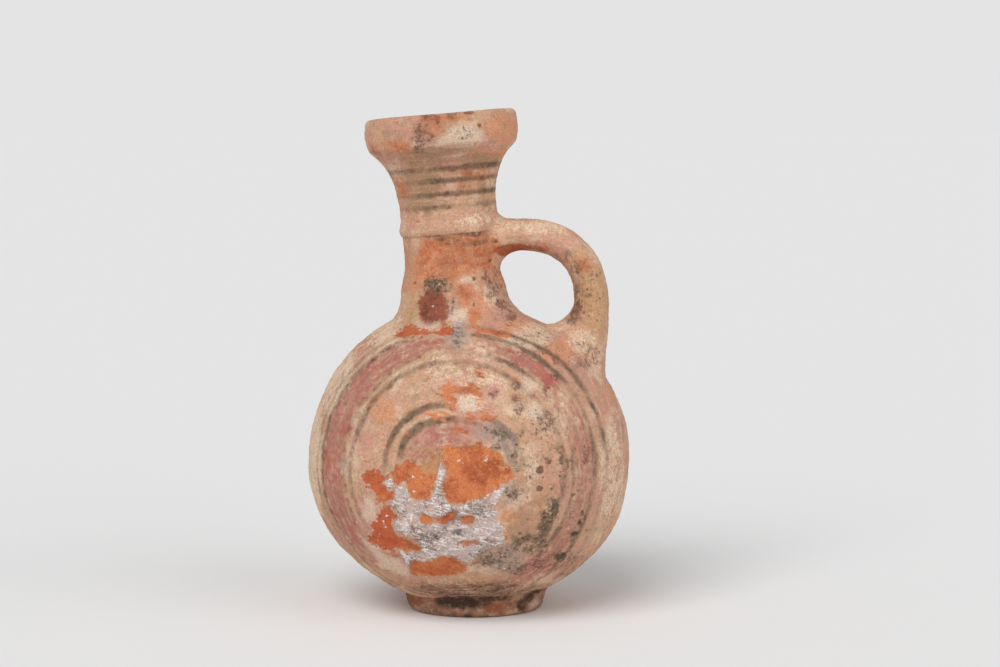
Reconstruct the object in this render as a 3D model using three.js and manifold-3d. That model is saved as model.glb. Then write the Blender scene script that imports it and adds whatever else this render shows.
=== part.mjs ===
// A terracotta jug, built as a potter builds one: a wheel-thrown globe, a ring foot, a neck thrown in two
// stages that meet under a ridge, a collar round the mouth, one loop handle, and the soft clay that lutes the
// roots. The pieces were joined with slip, so each keeps a thin film's distance from the next.
// Millimetres, +Z up. The origin lies on the table, under the globe's centre; the handle is towards +X.
import * as THREE from "three";
import { mergeVertices } from "three/addons/utils/BufferGeometryUtils.js";
import Module from "manifold-3d";

// Globe
const GLOBE_RADIUS = 61.5; // at its widest ring, and of its round upper half
const GLOBE_DROP = 55; // depth of the flatter lower half, below the widest ring
const GLOBE_WALL = 5;
const BASE_CLEARANCE = 1.5; // between the globe's underside and the table

// Ring foot
const FOOT_BORE_RADIUS = 19.5;
const FOOT_WIDTH = 6.9; // of the ring on the table, with its chamfered edge
const FOOT_SPLAY = 2.2; // how much further out its side reaches where it meets the globe
const FOOT_EDGE = 0.8; // chamfer of its outer standing edge
const FOOT_OFFSET = 1.9; // the foot was set a little towards the handle

// Neck, measured along its own axis, which leans away from the handle
const NECK_LEAN = 4.8; // degrees
const NECK_BORE_RADIUS = 13.5;
const NECK_WALL = 4.9; // at the waist
const NECK_BASE_SPREAD = 3.5; // how much further out it stands on the globe
const NECK_LOWER_HEIGHT = 32; // from its seat on the globe to the ridge
const NECK_TAPER_HEIGHT = 21.5; // the part of that height over which it narrows
const NECK_UPPER_HEIGHT = 44.2; // from the ridge to the lip
const NECK_SHANK_HEIGHT = 7.5; // straight stretch of the upper stage, above the ridge
const FLARE_RISE = 12; // how far the shank's line still leads the flare upwards
const FLARE_SWEEP = 5.7; // how far out from under the collar the flare starts to turn, and how far below it
const FLARE_TURN = 4.8;

// Ridge: a coil pressed into a rebate that both stages of the neck share
const RIDGE_PROUD = 1.1; // how far it stands out of the neck
const RIDGE_HEIGHT = 5.2;
const RIDGE_REBATE = 1.8;

// Mouth
const MOUTH_RADIUS = 24; // inside, at the lip
const MOUTH_WALL = 2.2; // of the funnel, under the collar
const MOUTH_FUNNEL_HEIGHT = 34; // depth over which the mouth narrows to the bore
const MOUTH_DROP = 12; // how far the funnel's side drops before it closes in
const THROAT_RISE = 15; // how far the bore's line leads the funnel's side up
const COLLAR_THICKNESS = 3.1;
const COLLAR_HEIGHT = 14.8;
const COLLAR_SWELL = 7; // height over which it swells to its full thickness
const COLLAR_FOOT = 0.5; // thickness of its lower edge
const COLLAR_EDGE = 1.3; // rounding of the lip's outer edge

// Handle, an oval strap bent in the plane of the lean
const HANDLE_THICKNESS = 12.8;
const HANDLE_WIDTH = 16;
const HANDLE_DROP = 4.4; // of its crest below the ridge
const HANDLE_STRAIGHT = 11; // straight run out of the neck
const HANDLE_LANDING = 43.5; // degrees above the widest ring, where it comes down on the globe
const HANDLE_BELLY = 2.4; // how far it swings out past its landing
const HANDLE_LEG = 15; // its last stretch, from the bend down to the landing

// Luting clay
const SLIP_FILM = 0.3; // between any two pieces
const LUTE_EDGE = 0.5; // thickness left at a lute's smoothed edges
const SHOULDER_LUTE_SPREAD = 8; // out over the globe from the neck
const SHOULDER_LUTE_RISE = 3.8; // up the neck
const TOP_LUTE_SPREAD = 3.2; // over the neck, round the handle's upper root
const TOP_LUTE_REACH = 5; // along the handle
const BASE_LUTE_SPREAD = 4.5; // over the globe, round the lower root
const BASE_LUTE_REACH = 8;

// Facets
const TURN_STEPS = 48; // round a turned piece
const CURVE_STEPS = 6; // along a curved stretch of an outline
const SEAM_STEPS = 3; // along a curved stretch of a small piece
const HANDLE_STEPS = 30;
const BEND_STEPS = 6; // points that lead the handle's line round its bend
const LUTE_STEPS = 28; // round a handle root
const LUTE_FACE_STEPS = 4;
const LUTE_WALL_STEPS = 6;
const LUTE_FLANK_STEPS = 4;
const ROOT_HALVINGS = 30; // of the stretch in which the handle's side leaves a wall
const HANDLE_MIDDLE = 0.5; // share of the handle's line that is clear of both walls

const CLAY = { slip: 0xcaa07c, bare: 0xc58158, pale: 0xcfa684, ochre: 0xc99a6c, dark: 0xa87d5f };

const wasm = await Module();
wasm.setup();

const lean = THREE.MathUtils.degToRad(NECK_LEAN);
const neckWaist = NECK_BORE_RADIUS + NECK_WALL; // outside radius
const neckBase = neckWaist + NECK_BASE_SPREAD;
const rebateRadius = neckWaist - RIDGE_REBATE;
const ridgeRadius = neckWaist + RIDGE_PROUD;
const collarSeat = MOUTH_RADIUS + MOUTH_WALL; // outside radius of the funnel under the collar
const collarInner = collarSeat + SLIP_FILM;
const collarOuter = collarInner + COLLAR_THICKNESS;

// Heights above the globe's centre, along the neck's axis.
const seatRadius = GLOBE_RADIUS + SLIP_FILM; // of the globe's upper half with its film of slip
const onGlobe = (radius) => Math.sqrt(seatRadius ** 2 - radius ** 2);
const seatHeight = onGlobe(neckBase);
const ridgeHeight = seatHeight + NECK_LOWER_HEIGHT;
const lipHeight = ridgeHeight + NECK_UPPER_HEIGHT;
const collarHeight = lipHeight - COLLAR_HEIGHT;

// A closed geometry as a solid that can be joined and cut.
function solidOf(geometry) {
  const bare = new THREE.BufferGeometry();
  bare.setAttribute("position", geometry.getAttribute("position"));
  bare.setIndex(geometry.index);
  const merged = mergeVertices(bare);
  const { array } = merged.getAttribute("position");
  const triVerts = new Uint32Array(merged.index.array);
  return new wasm.Manifold(new wasm.Mesh({ numProp: 3, vertProperties: array, triVerts }));
}

function geometryOf(solid) {
  const { vertProperties, triVerts } = solid.getMesh();
  const geometry = new THREE.BufferGeometry();
  geometry.setAttribute("position", new THREE.BufferAttribute(vertProperties, 3));
  geometry.setIndex(new THREE.BufferAttribute(triVerts, 1));
  geometry.computeVertexNormals();
  return geometry;
}

// An outline in (radius, height), turned about +Z. Its outer side runs upwards.
function turned(outline, steps = CURVE_STEPS) {
  return new THREE.LatheGeometry(outline.getPoints(steps), TURN_STEPS).rotateX(Math.PI / 2);
}

// The globe's form about its own centre, larger by grow: an ellipse below the widest ring, a circle above it.
function globeForm(grow) {
  const radius = GLOBE_RADIUS + grow;
  const outline = new THREE.Path();
  outline.absellipse(0, 0, radius, GLOBE_DROP + grow, -Math.PI / 2, 0, false);
  outline.absarc(0, 0, radius, 0, Math.PI / 2, false);
  return solidOf(turned(outline));
}

function bodyGlobe() {
  const hole = new THREE.CylinderGeometry(NECK_BORE_RADIUS, NECK_BORE_RADIUS, seatRadius, TURN_STEPS);
  hole.rotateX(Math.PI / 2).translate(0, 0, seatRadius / 2 + GLOBE_WALL).rotateY(-lean);
  return geometryOf(globeForm(0).subtract(globeForm(-GLOBE_WALL)).subtract(solidOf(hole)));
}

function footRing() {
  const table = -GLOBE_DROP - BASE_CLEARANCE;
  const outer = FOOT_BORE_RADIUS + FOOT_WIDTH;
  const splayed = outer + FOOT_SPLAY;
  const meeting = -GLOBE_DROP * Math.sqrt(1 - (splayed / GLOBE_RADIUS) ** 2); // height of its side there
  const outline = new THREE.Path();
  outline.moveTo(FOOT_BORE_RADIUS, table);
  outline.lineTo(outer - FOOT_EDGE, table);
  outline.lineTo(outer, table + FOOT_EDGE);
  outline.lineTo(splayed, meeting);
  outline.lineTo(splayed, 0);
  outline.lineTo(FOOT_BORE_RADIUS, 0);
  outline.closePath();
  const ring = solidOf(turned(outline).translate(FOOT_OFFSET, 0, 0));
  return geometryOf(ring.subtract(globeForm(SLIP_FILM)));
}

// The neck's outer stretches, larger by grow, drawn upwards from wherever the outline is.
function drawTaper(outline, grow) {
  const [base, waist] = [neckBase + grow, neckWaist + grow];
  const bend = seatHeight + NECK_TAPER_HEIGHT / 2;
  outline.lineTo(base, seatHeight);
  outline.bezierCurveTo(base, bend, waist, bend, waist, seatHeight + NECK_TAPER_HEIGHT);
}

function drawRidge(outline, grow) {
  const [waist, ridge] = [neckWaist + grow, ridgeRadius + grow];
  const half = RIDGE_HEIGHT / 2;
  outline.lineTo(waist, ridgeHeight - half);
  outline.quadraticCurveTo(ridge, ridgeHeight - half, ridge, ridgeHeight);
  outline.quadraticCurveTo(ridge, ridgeHeight + half, waist, ridgeHeight + half);
}

function drawFlare(outline, grow) {
  const [waist, seat] = [neckWaist + grow, collarSeat + grow];
  const shank = ridgeHeight + NECK_SHANK_HEIGHT;
  const turn = [seat - FLARE_SWEEP, collarHeight - FLARE_TURN];
  outline.lineTo(waist, shank);
  outline.bezierCurveTo(waist, shank + FLARE_RISE, ...turn, seat, collarHeight);
}

function neckLower() {
  const top = ridgeHeight - SLIP_FILM / 2;
  const rebate = ridgeHeight - RIDGE_HEIGHT / 2 - SLIP_FILM;
  const outline = new THREE.Path();
  const innerAngle = Math.acos(NECK_BORE_RADIUS / seatRadius);
  outline.absarc(0, 0, seatRadius, innerAngle, Math.acos(neckBase / seatRadius), true);
  drawTaper(outline, 0);
  outline.lineTo(neckWaist, rebate);
  outline.lineTo(rebateRadius, rebate);
  outline.lineTo(rebateRadius, top);
  outline.lineTo(NECK_BORE_RADIUS, top);
  outline.closePath();
  return turned(outline);
}

function shoulderLute() {
  const inner = neckBase + SLIP_FILM;
  const top = seatHeight + SHOULDER_LUTE_RISE;
  const innerAngle = Math.acos(inner / seatRadius);
  const outerAngle = Math.acos((inner + SHOULDER_LUTE_SPREAD) / seatRadius);
  const skin = seatRadius + LUTE_EDGE;
  const corner = skin * Math.sin(innerAngle);
  const outline = new THREE.Path();
  outline.absarc(0, 0, seatRadius, innerAngle, outerAngle, true);
  outline.lineTo(skin * Math.cos(outerAngle), skin * Math.sin(outerAngle));
  outline.quadraticCurveTo(inner + LUTE_EDGE, corner, inner + LUTE_EDGE, top);
  outline.lineTo(inner, top);
  outline.closePath();
  return turned(outline, SEAM_STEPS);
}

function neckRidge() {
  const inner = rebateRadius + SLIP_FILM;
  const outline = new THREE.Path();
  outline.moveTo(inner, ridgeHeight - RIDGE_HEIGHT / 2);
  drawRidge(outline, 0);
  outline.lineTo(inner, ridgeHeight + RIDGE_HEIGHT / 2);
  outline.closePath();
  return turned(outline, SEAM_STEPS);
}

function neckUpper() {
  const bottom = ridgeHeight + SLIP_FILM / 2;
  const rebate = ridgeHeight + RIDGE_HEIGHT / 2 + SLIP_FILM;
  const throat = lipHeight - MOUTH_FUNNEL_HEIGHT;
  const outline = new THREE.Path();
  outline.moveTo(NECK_BORE_RADIUS, bottom);
  outline.lineTo(rebateRadius, bottom);
  outline.lineTo(rebateRadius, rebate);
  outline.lineTo(neckWaist, rebate);
  drawFlare(outline, 0);
  outline.lineTo(collarSeat, lipHeight);
  outline.lineTo(MOUTH_RADIUS, lipHeight);
  const turns = [MOUTH_RADIUS, lipHeight - MOUTH_DROP, NECK_BORE_RADIUS, throat + THROAT_RISE];
  outline.bezierCurveTo(...turns, NECK_BORE_RADIUS, throat);
  outline.closePath();
  return turned(outline);
}

function rimCollar() {
  const full = collarHeight + COLLAR_SWELL; // where its face is at its full radius
  const outline = new THREE.Path();
  outline.moveTo(collarInner, collarHeight);
  outline.lineTo(collarInner + COLLAR_FOOT, collarHeight);
  outline.quadraticCurveTo(collarOuter, (collarHeight + full) / 2, collarOuter, full);
  outline.lineTo(collarOuter, lipHeight - COLLAR_EDGE);
  outline.quadraticCurveTo(collarOuter, lipHeight, collarOuter - COLLAR_EDGE, lipHeight);
  outline.lineTo(collarInner, lipHeight);
  outline.closePath();
  return turned(outline, SEAM_STEPS);
}

// The neck's outer side, without its ridge, from its seat up to the collar.
function neckSide() {
  const outline = new THREE.Path();
  outline.moveTo(neckBase, seatHeight);
  drawTaper(outline, 0);
  drawFlare(outline, 0);
  return outline.getPoints(CURVE_STEPS);
}

// The neck's whole outer form, ridge and all, with its film of slip.
function neckForm() {
  const outline = new THREE.Path();
  outline.moveTo(0, seatHeight);
  drawTaper(outline, SLIP_FILM);
  drawRidge(outline, SLIP_FILM);
  drawFlare(outline, SLIP_FILM);
  outline.lineTo(0, collarHeight);
  return solidOf(turned(outline).rotateY(-lean));
}

// The line that the middle of the handle follows, from inside the neck to inside the globe's wall.
function handleLine() {
  const wall = new THREE.Vector2(neckWaist, ridgeHeight).rotateAround(new THREE.Vector2(), lean);
  const crest = wall.y - HANDLE_DROP;
  const angle = THREE.MathUtils.degToRad(HANDLE_LANDING);
  const landing = new THREE.Vector2(Math.cos(angle), Math.sin(angle)).multiplyScalar(GLOBE_RADIUS);
  const bendStart = wall.x + HANDLE_STRAIGHT;
  const bendEnd = landing.y + HANDLE_LEG;
  const reach = landing.x + HANDLE_BELLY - bendStart;
  const bend = new THREE.EllipseCurve(bendStart, bendEnd, reach, crest - bendEnd, Math.PI / 2, 0, true);
  const leg = landing.clone().sub(new THREE.Vector2(landing.x + HANDLE_BELLY, bendEnd));
  const flat = [
    new THREE.Vector2(wall.x - neckWaist, crest),
    new THREE.Vector2(wall.x, crest),
    ...bend.getPoints(BEND_STEPS),
    landing,
    landing.clone().add(leg.setLength(HANDLE_THICKNESS)),
  ];
  return new THREE.CatmullRomCurve3(flat.map((point) => new THREE.Vector3(point.x, 0, point.y)));
}

function handleForm(line) {
  const section = new THREE.Shape();
  section.absellipse(0, 0, HANDLE_THICKNESS / 2, HANDLE_WIDTH / 2, 0, 2 * Math.PI, false, 0);
  const geometry = new THREE.ExtrudeGeometry(section, {
    extrudePath: line,
    steps: HANDLE_STEPS,
    curveSegments: CURVE_STEPS,
  });
  return solidOf(geometry);
}

function handle(line) {
  return geometryOf(handleForm(line).subtract(neckForm()).subtract(globeForm(SLIP_FILM)));
}

// The walls that the handle's roots meet: how far outside a point lies, and which way leads straight off.
const globeWall = {
  outside: (point) => point.length() - GLOBE_RADIUS,
  away: (point) => point.clone().normalize(),
};

const swayAxis = new THREE.Vector3(0, 1, 0);
const neckProfile = neckSide();
const neckWall = {
  outside(point) {
    const local = point.clone().applyAxisAngle(swayAxis, lean);
    const above = Math.max(1, neckProfile.findIndex((p) => p.y > local.z));
    const [low, high] = [neckProfile[above - 1], neckProfile[above]];
    const share = (local.z - low.y) / (high.y - low.y);
    return Math.hypot(local.x, local.y) - THREE.MathUtils.lerp(low.x, high.x, share);
  },
  away(point) {
    const local = point.clone().applyAxisAngle(swayAxis, lean);
    return local.setZ(0).normalize().applyAxisAngle(swayAxis, -lean);
  },
};

// A point on the handle's side with its film of slip, a share along its line and an angle round it.
function flank(line, share, turn) {
  const side = new THREE.Vector3(0, 1, 0);
  const out = new THREE.Vector3().crossVectors(side, line.getTangentAt(share));
  const across = out.multiplyScalar(Math.cos(turn) * (HANDLE_THICKNESS / 2 + SLIP_FILM));
  const along = side.multiplyScalar(Math.sin(turn) * (HANDLE_WIDTH / 2 + SLIP_FILM));
  const normal = across.add(along);
  return { point: line.getPointAt(share).add(normal), normal: normal.clone().normalize() };
}

// The share of the line at which the handle's side leaves a wall, between one end and the middle of the line.
function leavingShare(line, wall, end, turn) {
  let [inWall, clear] = [end, HANDLE_MIDDLE];
  for (let halving = 0; halving < ROOT_HALVINGS; halving++) {
    const middle = (inWall + clear) / 2;
    if (wall.outside(flank(line, middle, turn).point) < SLIP_FILM) inWall = middle;
    else clear = middle;
  }
  return clear;
}

// Soft clay round the root at one end of the handle's line: at every turn it fills the corner between the
// handle's side and the wall, and its hollow face runs out thinly on both.
function rootLute(line, wall, end, spread, reach) {
  const way = Math.sign(HANDLE_MIDDLE - end);
  const reachShare = (way * reach) / line.getLength();
  const settle = (point) => point.addScaledVector(wall.away(point), SLIP_FILM - wall.outside(point));
  const rings = [];
  for (let i = 0; i < LUTE_STEPS; i++) {
    const turn = way * (i / LUTE_STEPS) * 2 * Math.PI;
    const root = leavingShare(line, wall, end, turn);
    const corner = flank(line, root, turn);
    const overWall = [];
    for (let j = 1; j <= LUTE_WALL_STEPS; j++) {
      const out = (spread * j) / LUTE_WALL_STEPS;
      overWall.push(settle(corner.point.clone().addScaledVector(corner.normal, out)));
    }
    const downHandle = [];
    for (let j = LUTE_FLANK_STEPS; j > 0; j--) {
      downHandle.push(flank(line, root + (reachShare * j) / LUTE_FLANK_STEPS, turn));
    }
    const edge = overWall[LUTE_WALL_STEPS - 1];
    const tip = downHandle[0];
    const edgeTop = edge.clone().addScaledVector(wall.away(edge), LUTE_EDGE);
    const tipTop = tip.point.clone().addScaledVector(tip.normal, LUTE_EDGE);
    const hollow = corner.point.clone().addScaledVector(corner.normal, LUTE_EDGE);
    hollow.addScaledVector(wall.away(corner.point), LUTE_EDGE);
    const face = new THREE.QuadraticBezierCurve3(edgeTop, hollow, tipTop).getPoints(LUTE_FACE_STEPS);
    rings.push([corner.point, ...overWall, ...face, ...downHandle.map((at) => at.point)]);
  }
  return ringSolid(rings);
}

// A closed ring whose sections, all with as many points, follow each other round.
function ringSolid(rings) {
  const count = rings[0].length;
  const index = [];
  rings.forEach((_, i) => {
    const [here, next] = [i * count, ((i + 1) % rings.length) * count];
    for (let j = 0; j < count; j++) {
      const after = (j + 1) % count;
      index.push(here + j, next + j, here + after, here + after, next + j, next + after);
    }
  });
  const geometry = new THREE.BufferGeometry().setFromPoints(rings.flat());
  geometry.setIndex(index);
  geometry.computeVertexNormals();
  return geometry;
}

function handleTopLute(line) {
  const lute = rootLute(line, neckWall, 0, TOP_LUTE_SPREAD, TOP_LUTE_REACH);
  return geometryOf(solidOf(lute).subtract(neckForm()));
}

function handleBaseLute(line) {
  return rootLute(line, globeWall, 1, BASE_LUTE_SPREAD, BASE_LUTE_REACH);
}

function piece(name, geometry, color) {
  const material = new THREE.MeshStandardMaterial({ color, roughness: 0.92, metalness: 0 });
  const mesh = new THREE.Mesh(geometry, material);
  mesh.name = name;
  return mesh;
}

const line = handleLine();
const neck = new THREE.Group();
neck.rotation.y = -lean;
neck.add(
  piece("neck_lower", neckLower(), CLAY.bare),
  piece("shoulder_lute", shoulderLute(), CLAY.slip),
  piece("neck_ridge", neckRidge(), CLAY.pale),
  piece("neck_upper", neckUpper(), CLAY.slip),
  piece("rim_collar", rimCollar(), CLAY.pale),
);

const jug = new THREE.Group();
jug.position.z = BASE_CLEARANCE + GLOBE_DROP;
jug.add(
  piece("body_globe", bodyGlobe(), CLAY.slip),
  piece("foot_ring", footRing(), CLAY.dark),
  piece("handle", handle(line), CLAY.ochre),
  piece("handle_top_lute", handleTopLute(line), CLAY.pale),
  piece("handle_base_lute", handleBaseLute(line), CLAY.slip),
  neck,
);

const assembly = new THREE.Group();
assembly.add(jug);
export default assembly;
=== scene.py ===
"""Looks of a worn, painted terracotta jug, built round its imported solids.

Shapes are worked out in millimetres from the globe's centre: x towards the handle, y away from the
painted front, z up. They become metres in the row frame when a mesh is made.
"""

from math import cos, pi, radians, sin, sqrt

import bpy
import numpy as np
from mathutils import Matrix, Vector


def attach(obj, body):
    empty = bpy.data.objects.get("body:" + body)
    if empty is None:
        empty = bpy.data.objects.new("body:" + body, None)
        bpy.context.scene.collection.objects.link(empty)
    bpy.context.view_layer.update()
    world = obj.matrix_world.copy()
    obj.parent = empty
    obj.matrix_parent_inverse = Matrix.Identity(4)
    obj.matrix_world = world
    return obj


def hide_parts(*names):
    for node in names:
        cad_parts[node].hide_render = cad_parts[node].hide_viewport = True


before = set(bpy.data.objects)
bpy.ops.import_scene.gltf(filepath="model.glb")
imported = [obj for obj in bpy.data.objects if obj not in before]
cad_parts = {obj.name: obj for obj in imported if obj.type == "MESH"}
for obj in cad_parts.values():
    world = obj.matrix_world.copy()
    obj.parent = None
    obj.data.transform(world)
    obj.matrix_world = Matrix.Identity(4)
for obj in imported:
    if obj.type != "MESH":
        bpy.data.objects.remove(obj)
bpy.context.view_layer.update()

# Sizes of the jug, in millimetres
MM = 0.001
CENTRE_HEIGHT = 56.5
GLOBE_RADIUS = 61.5
GLOBE_DROP = 55.0
GLOBE_WALL = 5.0
NECK_LEAN = radians(4.8)
NECK_BORE = 13.5
NECK_WAIST = 18.4
LUTE_START = 28.0
LUTE_TOP_RADIUS = 20.75
RIDGE_HEIGHT = 89.4
RIDGE_RADIUS = 19.5
REBATE_RADIUS = 16.7
COLLAR_RADIUS = 29.3
LIP_HEIGHT = 132.9
MOUTH_RADIUS = 24.0
THROAT_DEPTH = 34.0
FOOT_OFFSET = 1.9
FOOT_BORE = 19.5
FOOT_RADIUS = 26.4
FOOT_TOP_RADIUS = 28.4
FOOT_BEVEL = 1.9
HANDLE_HALF_DEPTH = 6.35
HANDLE_HALF_WIDTH = 8.0
HANDLE_CREST = 86.9
ROOT_DEPTH = 2.2
FEATHER = 0.06
SUNK = 1.0

# Points that outlines of the neck's pieces share: distance off its axis and height along it
LUTE_TOP = (LUTE_TOP_RADIUS, 67.0)
WAIST = (NECK_WAIST, 80.0)
RIDGE_LOW = (NECK_WAIST, RIDGE_HEIGHT - 2.0)
RIDGE_PEAK = (RIDGE_RADIUS, RIDGE_HEIGHT)
RIDGE_HIGH = (NECK_WAIST + 0.3, RIDGE_HEIGHT + 3.6)
REBATE_LOW = (REBATE_RADIUS, RIDGE_LOW[1])
REBATE_MIDDLE = (REBATE_RADIUS, RIDGE_HEIGHT)
REBATE_HIGH = (REBATE_RADIUS, RIDGE_HIGH[1])
BORE_JOINT = (NECK_BORE, RIDGE_HEIGHT)
SHANK_TOP = (18.5, 98.0)
COLLAR_FOOT = (26.4, 118.9)
LIP_SEAM = (26.4, LIP_HEIGHT)

# Marks of the potter's hands: presses are x, z, reach and depth, which is below zero for a swelling.
# Waves are height, length and seed.
HAND_PRESSES = [(27, 55.5, 14, 2.1), (-32, -46, 13, 2.6), (51, -30, 20, -0.9), (44, -41, 10, 0.8)]
HAND_WAVES = [(0.25, 46, 1), (0.12, 16, 2), (0.045, 5, 3)]
SLIM_SIDE = 1.5
WHEEL_HEIGHT = 0.05
FOOT_LUMPS = 0.18
LIP_WAVE = 0.09
LIP_WAVE_START = 124.0

# Marks of wear
FLAKE_DEPTH = 0.38
CRUST_HEIGHT = 0.16
PIT_DEPTH = 0.22
CHIP_DEPTH = 0.3

# How finely the meshes are cut
GLOBE_SEGMENTS = 400
GLOBE_ROWS_OUT = 196
GLOBE_ROWS_IN = 36
NECK_SEGMENTS = 340
FOOT_SEGMENTS = 300
FOOT_ROWS = 19
HANDLE_SEGMENTS = 96
HANDLE_ROWS = 150
LUTE_SEGMENTS = 144
LUTE_ROWS = 20
FINE_STEP = 0.6
COARSE_STEP = 1.6
LINE_STEP = 0.4
FRONT_CROWDING = 0.35
SHARP_ANGLE = radians(42)
WAVE_COUNT = 24

NECK_AXIS = np.array([-sin(NECK_LEAN), 0.0, cos(NECK_LEAN)])


# Small tools for shapes

def unit(vectors):
    """Vectors of length one along the given ones."""
    return vectors / np.maximum(np.linalg.norm(vectors, axis=-1, keepdims=True), 1e-9)


def off_axis(points):
    """The part of each place that leads straight off the neck's axis."""
    return points - (points @ NECK_AXIS)[..., None] * NECK_AXIS


def smooth(value, low, high):
    """0 below low, 1 above high, and an even S between them."""
    share = np.clip((value - low) / (high - low), 0, 1)
    return share * share * (3 - 2 * share)


def turns_round(count):
    """Even angles once round."""
    return np.linspace(0, 2 * pi, count, endpoint=False)


def curve(controls, step):
    """Points about a step apart along the curve that the control points draw."""
    controls = np.array(controls, float)
    length = np.linalg.norm(np.diff(controls, axis=0), axis=-1).sum()
    share = np.linspace(0, 1, max(2, int(round(length / step)) + 1))[:, None]
    rows = [np.ones_like(share) * control for control in controls]
    while len(rows) > 1:
        rows = [(1 - share) * a + share * b for a, b in zip(rows, rows[1:])]
    return rows[0]


def joined(*stretches):
    """One stretch from several that follow each other."""
    return np.concatenate([s[:-1] for s in stretches] + [stretches[-1][-1:]])


def waves(points, length, seed):
    """Soft bumps about a length apart, mostly between -2 and 2."""
    chance = np.random.default_rng(seed)
    directions = unit(chance.normal(size=(WAVE_COUNT, 3)))
    lengths = length * chance.uniform(0.7, 1.5, WAVE_COUNT)
    phases = chance.uniform(0, 2 * pi, WAVE_COUNT)
    total = np.zeros(points.shape[:-1])
    for direction, wave, phase in zip(directions, lengths, phases):
        total += np.sin(points @ direction * (2 * pi / wave) + phase)
    return total / sqrt(WAVE_COUNT / 2)


def inside_distance(points, outline):
    """How far each point of a plane lies inside an outline, or, below zero, outside it."""
    corners = np.array(outline, float)
    nearest = np.full(len(points), np.inf)
    inside = np.zeros(len(points), bool)
    px, pz = points[:, 0], points[:, 1]
    for (ax, az), (bx, bz) in zip(corners, np.roll(corners, -1, axis=0)):
        ex, ez = bx - ax, bz - az
        share = np.clip(((px - ax) * ex + (pz - az) * ez) / (ex * ex + ez * ez), 0, 1)
        nearest = np.minimum(nearest, np.hypot(px - ax - share * ex, pz - az - share * ez))
        if ez:
            crosses = (az > pz) != (bz > pz)
            inside ^= crosses & (px < ax + (pz - az) * ex / ez)
    return np.where(inside, nearest, -nearest)


# Where the paint and the wear are, as seen from the front: outlines in x and z, in millimetres
FLAKES = [
    [(-4, 13), (1, 12.8), (6, 13.4), (10, 14), (11.5, 12.8), (15, 11), (18, 10.4), (19, 7), (21.4, 5),
     (22.5, 1.7), (19, -0.4), (15, -2.5), (11, -5.4), (7.5, -6), (3.5, -8.2), (-1.4, -7.8),
     (-3.5, -1.4), (-1.6, 3.6), (-3.2, 6.2), (-4.4, 10)],
    [(-23, 3.3), (-21, 4.8), (-18.5, 6), (-18, 7.7), (-15.3, 7.6), (-13.7, 6.2), (-9, 6.5), (-7.5, 9.5),
     (-5.2, 10.8), (-4.8, 8), (-5.5, 3.5), (-6.6, -1), (-8.4, -6.3), (-13, -6.8), (-15, -5.5),
     (-16.5, -1.6), (-18.2, -0.5), (-21, -1.6)],
    [(-32.4, 2.8), (-31, 2), (-28.6, 3.4), (-26.6, 2), (-23, 1.6), (-25, 0.2), (-25.8, -2.8),
     (-22, -4.8), (-21, -6), (-21.6, -7.4), (-27, -8.5), (-29, -8), (-27.5, -6), (-31.4, -4.2),
     (-33.5, 0)],
    [(-25.3, -9.4), (-22, -10.8), (-21, -13.2), (-23, -16.4), (-21.7, -20.3), (-18, -22),
     (-14.6, -24.3), (-12.3, -26), (-17, -27.3), (-21, -26.1), (-26, -27), (-32.5, -25.5),
     (-32.5, -23.3), (-29.2, -19.7), (-30.3, -17.5), (-27.5, -14.5)],
    [(-15, -31.2), (-17.5, -34), (-17, -36.8), (-12.6, -38), (-6.5, -37.4), (0, -37), (2.2, -35.7),
     (5, -32.4), (0.6, -30.2), (-1, -29), (-5.5, -28.8), (-7.4, -30.3), (-12, -31.7)],
    [(-26, 50), (-23, 52), (-20, 54), (-18.3, 53.6), (-16, 52.2), (-12, 52), (-8.5, 53), (-6, 54.4),
     (-4.5, 54), (-3, 52.5), (-4, 51), (-12, 50.6), (-21, 49.5)],
    [(-13.3, -13), (-11.8, -12.2), (-9.5, -12.2), (-8.8, -14), (-5, -13.7), (-0.5, -11.6), (1.6, -11.1),
     (2.3, -12.8), (-2.8, -15.3), (-8.7, -15.1), (-10.2, -16.8)],
    [(2.2, -12.8), (7.6, -12.6), (8.6, -14.2), (7, -16), (3, -16)],
    [(2, -24), (5, -22.6), (8, -22.3), (9.2, -23.3), (6, -23.9)],
]
RUBBED = [
    [(-6, 33), (-1.7, 35), (3, 33), (5.5, 34.5), (8.5, 33.5), (9.5, 31), (10.8, 29), (9.3, 27.6),
     (8.3, 30), (5.8, 31.2), (2.2, 31), (0, 30), (1.5, 28.3), (1.7, 25.5), (-0.4, 25.5), (-1.4, 27.6),
     (-4, 29)],
    [(-11, 23), (-9, 24.6), (-5, 24.5), (0, 23), (2, 22), (-7, 22.5)],
    [(9.8, 24.5), (12.5, 24.3), (15.5, 22.8), (15, 21.7), (11, 22.2)],
    [(5, 24), (8, 24), (8, 22), (5.5, 21.5)],
    [(0, 19), (3, 20), (6, 18.5), (5.5, 17), (1, 17)],
    [(7, 39.5), (10, 38), (10.3, 36.5), (8.5, 37)],
    [(5, 53.8), (13, 53), (19, 51.4), (19, 50.4), (12, 51.5), (6, 52.2)],
]
BACK_FLAKES = [
    [(-24, 4), (-17, 9), (-9, 8), (-6, 13), (1, 11), (9, 12), (12, 6), (6, 2), (8, -3), (0, -4),
     (-7, -1), (-12, -5), (-18, -1)],
    [(13, -19), (18, -15), (21, -18), (27, -17), (25, -23), (28, -27), (19, -27), (15, -30), (12, -25)],
]
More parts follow.
